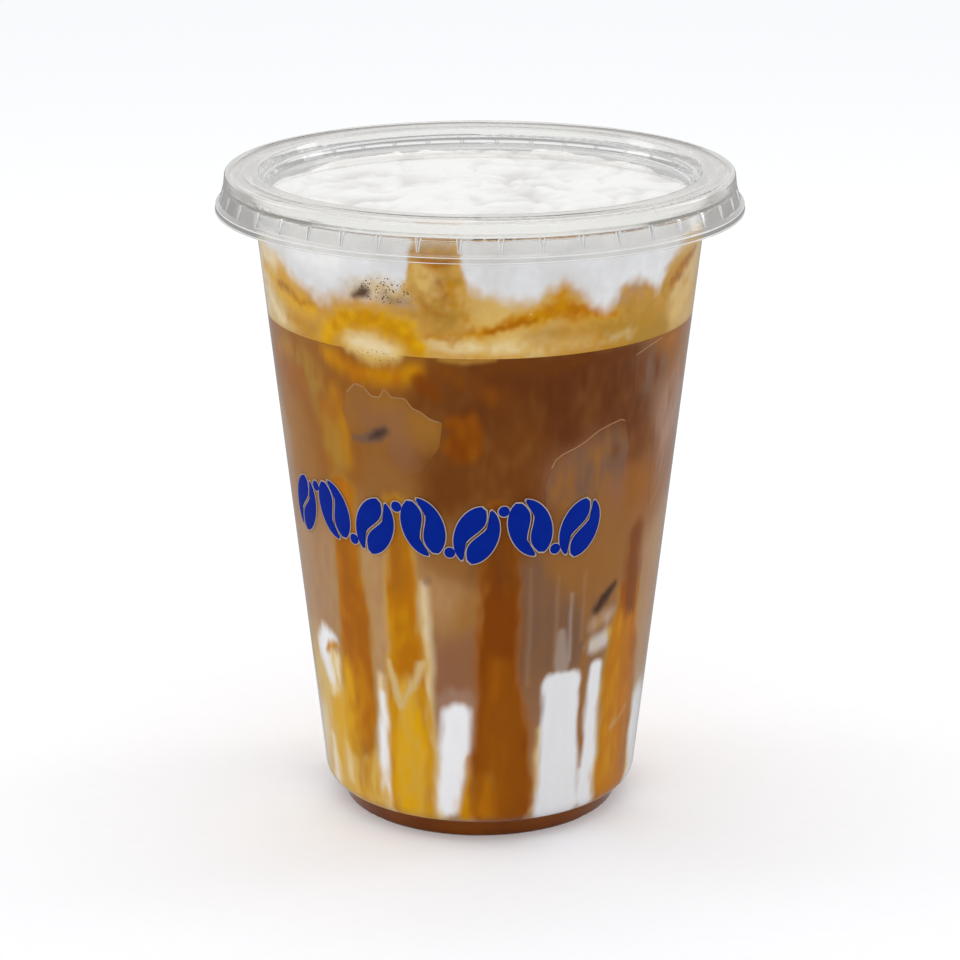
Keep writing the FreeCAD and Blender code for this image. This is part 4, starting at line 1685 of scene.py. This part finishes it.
def scattered_tree() -> Tree:
    """Make the tree that scatters small flattened bubbles over a patch.

    Returns:
        A tree whose host is the patch.
    """
    tree = Tree("scattered_bubbles", {
        "Density": ("NodeSocketFloat", 1e6),
        "Spacing": ("NodeSocketFloat", 0.0005),
        "Seed": ("NodeSocketInt", 1),
        "Smallest": ("NodeSocketFloat", 0.0001),
        "Largest": ("NodeSocketFloat", 0.0003),
        "Flatness": ("NodeSocketFloat", 0.35),
        "Finish": ("NodeSocketMaterial", None),
    })
    taken = tree.inputs
    points = tree.node(
        "GeometryNodeDistributePointsOnFaces",
        {
            "Mesh": taken["Geometry"],
            "Distance Min": taken["Spacing"],
            "Density Max": taken["Density"],
            "Seed": taken["Seed"],
        },
        distribute_method="POISSON",
    )
    ball = tree.node("GeometryNodeMeshIcoSphere", {"Radius": 1.0, "Subdivisions": 2})
    size = tree.node("FunctionNodeRandomValue", data_type="FLOAT")
    tree.tree.links.new(taken["Smallest"], size.inputs[2])
    tree.tree.links.new(taken["Largest"], size.inputs[3])
    tree.tree.links.new(taken["Seed"], size.inputs[8])
    thin = tree.math("MULTIPLY", size.outputs[1], taken["Flatness"])
    scale = tree.node("ShaderNodeCombineXYZ", {0: size.outputs[1], 1: size.outputs[1], 2: thin})
    copies = tree.node("GeometryNodeInstanceOnPoints", {
        "Points": points.outputs["Points"],
        "Instance": ball.outputs[0],
        "Rotation": points.outputs["Rotation"],
        "Scale": scale.outputs[0],
    })
    real = tree.node("GeometryNodeRealizeInstances", {"Geometry": copies.outputs[0]})
    smooth = tree.node("GeometryNodeSetShadeSmooth", {"Geometry": real.outputs[0]})
    dressed = tree.node("GeometryNodeSetMaterial", {
        "Geometry": smooth.outputs[0],
        "Material": taken["Finish"],
    })
    tree.finish(dressed.outputs[0])
    return tree


# ---- Bubbles -------------------------------------------------------------------------------
@dataclass(frozen=True)
class Bubbles:
    """Tiny bubbles against the wall over one oval patch."""

    name: str
    angle: float
    height_mm: float
    half_angle: float
    half_height_mm: float
    density: float
    smallest: float
    largest: float
    seed: int

    def patch(self, bore: Bore) -> bpy.types.Object:
        """Oval sheet along the wall for the bubbles to sit on.

        Args:
            bore: The walls of the cup.

        Returns:
            The sheet.
        """
        rim, rings = 48, 5
        wide = max(rim, int(self.half_angle))
        turn = np.arange(wide) * 2 * math.pi / wide
        angles, heights = [], []
        for ring in range(rings):
            share = 1 - ring / rings
            angles.append(self.angle + self.half_angle * share * np.cos(turn))
            heights.append((self.height_mm + self.half_height_mm * share * np.sin(turn)) * MM)
        angle = np.append(np.concatenate(angles), self.angle)
        height = np.append(np.concatenate(heights), self.height_mm * MM)
        points = on_cup(angle, bore.filled(height), height)
        faces = ring_faces(wide, rings) + fan(rings * wide, (rings - 1) * wide, wide, True)
        mesh = bpy.data.meshes.new("patch")
        mesh.from_pydata(points.tolist(), [], faces)
        sheet = bpy.data.objects.new("patch", mesh)
        bpy.context.scene.collection.objects.link(sheet)
        return sheet

    def build(self, bore: Bore, tree: Tree, finish: bpy.types.Material) -> bpy.types.Object:
        """Scatter the bubbles.

        Args:
            bore: The walls of the cup.
            tree: The scattering tree.
            finish: Their material.

        Returns:
            The finished piece.
        """
        values = {
            "Density": self.density,
            "Spacing": self.smallest * 2.2,
            "Seed": self.seed,
            "Smallest": self.smallest,
            "Largest": self.largest,
            "Finish": finish,
        }
        piece = tree.run(self.patch(bore), values, self.name)
        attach(piece, BODY)
        return piece


# ---- Print and folds -----------------------------------------------------------------------
def thin_plates(outlines: list[list[tuple[float, float]]], sunk: float, proud: float) -> bpy.types.Object:
    """Make thin flat plates with rounded rims, ready to be wrapped.

    Args:
        outlines: Closed outlines in x and z.
        sunk: How far the back reaches into the wall.
        proud: How far the front stands out of the wall.

    Returns:
        A mesh object with every plate.
    """
    points, faces = [], []
    for outline in outlines:
        flat = np.array(outline)
        turning = np.cross(flat[1] - flat[0], flat[2] - flat[1])
        flat = flat if turning > 0 else flat[::-1]
        centre = flat.mean(0)
        columns = len(flat)
        base = len(points)
        stages = [(1.0, -sunk), (1.0, proud * 0.6)]
        stages += [(share, proud) for share in (0.985, 0.75, 0.5, 0.25)]
        for share, out in stages:
            for x, z in centre + (flat - centre) * share:
                points.append((x, out, z))
        points += [(centre[0], -sunk, centre[1]), (centre[0], proud, centre[1])]
        total = base + len(stages) * columns
        made = ring_faces(columns, len(stages), base)
        made += fan(total, base, columns, False)
        made += fan(total + 1, total - columns, columns, True)
        faces += [face[::-1] for face in made]
    mesh = bpy.data.meshes.new("plates")
    mesh.from_pydata(points, [], faces)
    mesh.shade_smooth()
    host = bpy.data.objects.new("plates", mesh)
    bpy.context.scene.collection.objects.link(host)
    return host


@dataclass(frozen=True)
class Folds:
    """Painted highlights and painted shade along the edges of every crimp in the lid's skirt, and thin
    rings of painted highlight round its lip.
    """

    count: int = 42
    below_top: float = 3.05 * MM
    band: float = 2.7 * MM
    half_width: float = 0.46 * MM
    line: float = 0.07 * MM
    sunk: float = 0.05 * MM
    proud: float = 0.05 * MM
    low_highlight: float = 0.25 * MM
    high_highlight: float = 0.55 * MM

    def bar(self, side: int, shift: float) -> list[tuple[float, float]]:
        """Outline of one side of the V, from its open top to its point.

        Args:
            side: +1 for the right side, -1 for the left.
            shift: How far the whole side is moved along the row.

        Returns:
            Four corners in x and z.
        """
        top, low = self.band * 0.47, -self.band * 0.45
        wide, slim = self.line, self.line * 0.55
        head = side * self.half_width + shift
        tip = side * self.half_width * 0.3 + shift
        return [(head - wide, top), (head + wide, top), (tip + slim, low), (tip - slim, low)]

    def bead(self, name: str, lid: Bore, height: float, finish: bpy.types.Material) -> None:
        """Round one thin ring of painted highlight over an edge of the skirt.

        Args:
            name: The piece's name.
            lid: The walls of the lid.
            height: Metres above the table.
            finish: Its material.
        """
        columns, section = 360, 8
        radius = lid.outside(height)
        angle = np.tile(np.arange(columns) * 360 / columns, section)
        turn = np.repeat(np.arange(section) * 2 * math.pi / section, columns)
        sway = 1 + 0.25 * np.sin(np.radians(angle) * 9 + height * 4e4)
        out = radius + self.line * sway * np.cos(turn)
        points = on_cup(angle, out, height + self.line * sway * np.sin(turn))
        faces = ring_faces(columns, section)
        last = (section - 1) * columns
        faces += [(last + k, last + (k + 1) % columns, (k + 1) % columns, k) for k in range(columns)]
        piece = new_piece(name, points, faces, finish)
        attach(piece, BODY)
        LOG.info("built %s", piece.name)

    def build(self, lid: Bore, tree: Tree, pale: bpy.types.Material, shaded: bpy.types.Material) -> None:
        """Lay the painted highlights down the sides and the painted shade lines beside them on the skirt,
        and the rings of painted highlight on its lip.

        Args:
            lid: The walls of the lid.
            tree: The tree that wraps a row.
            pale: Finish of the painted highlights, on the sides that catch the light and on the lip.
            shaded: Finish of the painted shade lines beside them.
        """
        # Rings of painted highlight along the lip's edges.
        self.bead("lip_highlight_low", lid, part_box("lid")[0].z + self.low_highlight, pale)
        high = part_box("lid")[1].z - self.below_top - self.band - self.high_highlight
        self.bead("lip_highlight_high", lid, high, pale)
        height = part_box("lid")[1].z - self.below_top - self.band / 2
        step = self.band * 0.3
        radius = lid.outside(height)
        slope = (lid.outside(height + step) - lid.outside(height - step)) / (2 * step)
        values = {
            "Count": self.count,
            "Pitch": 2 * math.pi * radius / self.count,
            "Tilt": 0.0,
            "Height": height,
            "Radius": radius,
            "Slope": slope,
        }
        # Painted highlights along every crimp, with painted shade lines beside them.
        for name, shift, finish in (("folds_highlight", 0.0, pale), ("folds_shaded", 2.1 * self.line, shaded)):
            host = thin_plates([self.bar(1, shift), self.bar(-1, shift)], self.sunk, self.proud)
            piece = tree.run(host, {**values, "Finish": finish}, name)
            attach(piece, BODY)
            LOG.info("built %s", piece.name)


@dataclass
class BeanPrint:
    """A row of coffee beans with round dots between them, printed round the cup."""

    middle_angle: float = -16.5
    height: float = 66.2 * MM
    count: int = 7
    pitch: float = 10.2 * MM
    tilt: float = 0.34
    half_width: float = 4.15 * MM
    half_height: float = 6.0 * MM
    split: float = 0.75 * MM
    outline: float = 0.2 * MM
    dot_radius: float = 1.05 * MM
    bean_rise: float = -0.6 * MM
    dot_rise: float = 4.2 * MM
    bend: float = 1.15 * MM
    proud: float = 0.05 * MM
    sunk: float = 0.03 * MM

    def half_bean(self, side: int, grow: float) -> list[tuple[float, float]]:
        """Outline of one half of a bean.

        Args:
            side: +1 for the right half, -1 for the left.
            grow: Extra size all round.

        Returns:
            Points (x, z), anticlockwise for the right half.
        """
        steps = 26
        wide, tall = self.half_width + grow, self.half_height + grow
        gap = self.split / 2 - grow
        start = math.asin(min(0.95, gap / wide + 0.16))
        points = []
        for k in range(steps + 1):
            turn = -math.pi / 2 + start + (math.pi - 2 * start) * k / steps
            points.append((side * wide * math.cos(turn), tall * math.sin(turn)))
        top = points[-1][1]
        for k in range(1, steps):
            z = top - 2 * top * k / steps
            bend = self.bend * math.sin(math.pi * z / tall)
            points.append((bend + side * gap, z))
        return points

    def disc(self, radius: float) -> list[tuple[float, float]]:
        """Outline of a round dot.

        Args:
            radius: Its radius.

        Returns:
            Points (x, z), anticlockwise.
        """
        steps = 28
        turns = [2 * math.pi * k / steps for k in range(steps)]
        return [(radius * math.cos(turn), radius * math.sin(turn)) for turn in turns]

    def build(self, bore: Bore, tree: Tree, ink: bpy.types.Material, halo: bpy.types.Material) -> None:
        """Print the beans and the dots, and lay the thin pale line round them.

        Args:
            bore: The walls of the cup.
            tree: The tree that wraps a row.
            ink: The dark ink.
            halo: Finish of the thin pale line round the print.
        """
        step = 5 * MM
        radius = bore.outside(self.height)
        slope = (bore.outside(self.height + step) - bore.outside(self.height - step)) / (2 * step)
        common = {
            "Pitch": self.pitch,
            "Height": self.height,
            "Middle Angle": math.radians(self.middle_angle),
            "Radius": radius,
            "Slope": slope,
        }
        for name, grow, proud, finish in (
            ("print", 0.0, self.proud, ink),
            ("print_outline", self.outline, self.proud * 0.5, halo),
        ):
            halves = [self.half_bean(1, grow), self.half_bean(-1, grow)]
            beans = {"Count": self.count, "Tilt": self.tilt, "Rise": self.bean_rise, "Finish": finish}
            dots = {"Count": self.count - 1, "Tilt": 0.0, "Rise": self.dot_rise, "Finish": finish}
            for part, outlines, values in (
                ("beans", halves, beans),
                ("dots", [self.disc(self.dot_radius + grow)], dots),
            ):
                host = thin_plates(outlines, self.sunk, proud)
                piece = tree.run(host, {**common, **values}, f"{part}_{name}")
                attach(piece, BODY)
                LOG.info("built %s", piece.name)


# ---- Studio --------------------------------------------------------------------------------
@dataclass(frozen=True)
class Lamp:
    """A soft rectangular lamp that faces the cup."""

    name: str
    place: tuple[float, float, float]
    size: tuple[float, float]
    watts: float

    def build(self, aim_height: float) -> None:
        """Add the lamp.

        Args:
            aim_height: Height of the point on the cup's axis that it faces.
        """
        data = bpy.data.lights.new(self.name, "AREA")
        data.shape = "RECTANGLE"
        data.size, data.size_y = self.size
        data.energy = self.watts
        lamp = bpy.data.objects.new(self.name, data)
        lamp.location = self.place
        aim = Vector((0, 0, aim_height)) - Vector(self.place)
        lamp.rotation_euler = aim.to_track_quat("-Z", "Y").to_euler()
        bpy.context.scene.collection.objects.link(lamp)


@dataclass(frozen=True)
class Studio:
    """Pale floor, soft lights and the camera."""

    distance: float = 0.600
    pitch: float = 17.3
    aim_height: float = 0.06477
    lens: float = 113.4
    sky: float = 0.96
    sky_in_gloss: float = 0.80
    floor_in_gloss: float = 0.36
    floor_glow: float = 0.08
    floor_reach: float = 6.0
    lamps: tuple[Lamp, ...] = (
        Lamp("left_softbox", (-0.60, 0.10, 0.45), (0.25, 0.5), 0.6),
        Lamp("right_softbox", (0.60, 0.20, 0.40), (0.20, 0.5), 0.6),
        Lamp("top_softbox", (0.0, 0.12, 0.75), (0.30, 0.12), 0.2),
    )

    def camera(self) -> None:
        """Place the camera in front of and above the cup."""
        data = bpy.data.cameras.new("camera")
        data.lens = self.lens
        data.clip_start = 0.01
        data.clip_end = 50
        camera = bpy.data.objects.new("camera", data)
        pitch = math.radians(self.pitch)
        back = self.distance * math.cos(pitch)
        camera.location = (0, -back, self.aim_height + self.distance * math.sin(pitch))
        camera.rotation_euler = (math.pi / 2 - pitch, 0, 0)
        bpy.context.scene.collection.objects.link(camera)
        bpy.context.scene.camera = camera

    def world(self) -> None:
        """White wherever it is seen, straight or through the plastic, and a soft even light."""
        world = bpy.data.worlds.new("world")
        bpy.context.scene.world = world
        world.use_nodes = True
        shader = Shader(world.node_tree)
        path = shader.node("ShaderNodeLightPath").outputs
        seen = shader.math("MAXIMUM", path["Is Camera Ray"], path["Is Transmission Ray"])
        gloss = shader.math("MULTIPLY_ADD", path["Is Glossy Ray"], self.sky_in_gloss - self.sky, self.sky)
        level = shader.math("MAXIMUM", seen, gloss)
        sky = shader.node("ShaderNodeBackground", {"Color": (1, 1, 1, 1), "Strength": level})
        shader.node("ShaderNodeOutputWorld", {"Surface": sky.outputs[0]})

    def floor(self) -> None:
        """Pale table top that keeps the cup's soft shadow."""
        material, shader = new_material("pale_table")
        speck = shader.noise(shader.place(), 300.0)
        pale = shader.mix(speck, rgba("f0f1f4"), rgba("f4f5f8"))
        matt = shader.node("ShaderNodeBsdfDiffuse", {"Color": pale})
        glow = shader.node("ShaderNodeEmission", {"Color": (1, 1, 1, 1), "Strength": self.floor_glow})
        both = shader.node("ShaderNodeAddShader", {0: matt.outputs[0], 1: glow.outputs[0]})
        dim = shader.node("ShaderNodeEmission", {"Color": (1, 1, 1, 1), "Strength": self.floor_in_gloss})
        path = shader.node("ShaderNodeLightPath").outputs
        seen = shader.math("MAXIMUM", path["Is Camera Ray"], path["Is Transmission Ray"])
        lit = shader.node("ShaderNodeMixShader", {0: seen, 1: matt.outputs[0], 2: both.outputs[0]})
        inputs = {0: path["Is Glossy Ray"], 1: lit.outputs[0], 2: dim.outputs[0]}
        shown = shader.node("ShaderNodeMixShader", inputs)
        shader.node("ShaderNodeOutputMaterial", {"Surface": shown.outputs[0]})
        reach = self.floor_reach
        corners = np.array([[-reach, -reach, 0], [reach, -reach, 0], [reach, reach, 0], [-reach, reach, 0]])
        new_piece("table", corners, [(0, 1, 2, 3)], material)

    def build(self) -> None:
        """Set up everything round the object."""
        self.camera()
        self.world()
        self.floor()
        for lamp in self.lamps:
            lamp.build(self.aim_height)
        bpy.context.scene.view_settings.view_transform = "Standard"


# ---- Everything ----------------------------------------------------------------------------
@dataclass
class Drink:
    """Every layer of the drink, its ice and its bubbles."""

    bore: Bore
    nodes: dict[str, bpy.types.Object]
    ripple: bpy.types.NodeTree
    milk_depth: float = 32 * MM
    cream_depth: float = 11 * MM
    under_panel: float = 0.35 * MM

    def build(self) -> None:
        """Build the drink from the foot up."""
        poured = Poured("poured").build(self.ripple)
        swirled = Poured("swirled", streak=0.03, grain=0.10).build(self.ripple)
        foamed = Poured("foamed", streak=0.02, grain=0.04, roughness=0.7, relief=0.25).build(self.ripple)
        back = BackRecipe()
        runs = milk_strokes() + thin_runs() + caramel_runs() + back.strokes() + under_surface()
        body = Painter(front_anchors() + back.anchors(), runs + cream_eye())
        head = Painter(head_anchors(), swirls() + cream_eye(), Tone.GOLD, 0.45, 1.1)
        syrup_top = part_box("syrup")[1].z
        coffee_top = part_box("coffee")[1].z
        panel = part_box("foam")[1].z + self.under_panel
        milk_top = syrup_top + self.milk_depth
        middle = (milk_top + coffee_top) / 2
        foam_low = coffee_top + self.cream_depth
        piece = Syrup(self.nodes["syrup"]).build(poured)
        LOG.info("built %s", piece.name)
        for layer, finish in (
            (Layer("milk_layer", "milk", "milk", syrup_top, milk_top, body), poured),
            (Layer("coffee_lower", "coffee", "coffee", milk_top, middle, body), poured),
            (Layer("coffee_upper", "coffee", "coffee", middle, coffee_top, body), poured),
            (Layer("cream_layer", "caramel_cream", "caramel_cream", coffee_top, foam_low, head), swirled),
        ):
            piece = layer.build(self.bore, finish)
            LOG.info("built %s", piece.name)
        piece = Foam(foam_low, panel, head).build(self.bore, foamed)
        LOG.info("built %s", piece.name)
        for patch in front_ice() + back_ice():
            piece = patch.build(self.bore, body, poured)
            LOG.info("built %s", piece.name)
        self.bubbles()

    def bubbles(self) -> None:
        """Scatter bubbles in the foam, in the cream and under the coffee's top."""
        dark = Mottled("bubble_dark", "3a2114", "7a5b45", 0.3).build(self.ripple)
        pale = Mottled("bubble_pale", "c89a5a", "e6cf9c", 0.3).build(self.ripple)
        tree = scattered_tree()
        groups = (
            (Bubbles("bubbles_foam", -24.5, 112.8, 8, 2.5, 2.4e6, 0.05 * MM, 0.17 * MM, 3), dark),
            (Bubbles("bubbles_foam_large", -26, 112.8, 6.4, 1.8, 1.2e5, 0.16 * MM, 0.30 * MM, 5), dark),
            (Bubbles("bubbles_cream", -27.5, 99.6, 8, 1.5, 1.4e6, 0.04 * MM, 0.13 * MM, 8), dark),
            (Bubbles("bubbles_coffee", -8, 95, 5, 2.4, 1.5e5, 0.06 * MM, 0.18 * MM, 12), dark),
            (Bubbles("bubbles_head_front", 0, 107, 85, 5.5, 5e4, 0.07 * MM, 0.2 * MM, 21), pale),
            (Bubbles("bubbles_head_back", 180, 107, 95, 5.5, 5e4, 0.07 * MM, 0.2 * MM, 22), pale),
            (Bubbles("bubbles_back", 150, 111, 9, 2.2, 6e5, 0.10 * MM, 0.28 * MM, 31), dark),
        )
        for group, finish in groups:
            piece = group.build(self.bore, tree, finish)
            LOG.info("built %s with %d faces", piece.name, len(piece.data.polygons))


def dress(node: bpy.types.Object, finish: bpy.types.Material) -> None:
    """Give a node of the frame its finish.

    Args:
        node: The node.
        finish: Its material.
    """
    node.data.materials.clear()
    node.data.materials.append(finish)
    LOG.info("dressed %s", node.name)


def main() -> None:
    """Build the latte round the frame."""
    logging.basicConfig(level=logging.INFO, format="%(name)s: %(message)s")
    noise.seed_set(NOISE_SEED)
    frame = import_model()
    Studio().build()
    ripple = ripple_group()
    nodes = frame["nodes"]
    bore = Bore(nodes["cup"])
    dress(nodes["cup"], ClearPlastic("cup_plastic", gloss="808080").build(ripple))
    lid_plastic = ClearPlastic(
        "lid_plastic", "fcfcfc", "f5f3ef", ring_rougher=0.05, deepest=5, roughness=0.035
    )
    dress(nodes["lid"], lid_plastic.build(ripple))
    Drink(bore, nodes, ripple).build()
    ink = Mottled("blue_ink", "001a80", "002690", 0.55).build(ripple)
    # Finish of the thin pale line round the print.
    halo = Mottled("pale_outline", "9a8676", "b8a594", 0.55).build(ripple)
    wrapped = wrapped_row_tree()
    BeanPrint().build(bore, wrapped, ink, halo)
    # Painted highlight and painted shade for the lid's crimps and lip.
    pale = Mottled("fold_highlight", "e0e1e3", "f4f4f3", 0.35).build(ripple)
    shaded = Mottled("fold_shaded", "a4a6aa", "c6c8cc", 0.35).build(ripple)
    Folds().build(Bore(nodes["lid"]), wrapped, pale, shaded)


if __name__ == "__main__":
    main()
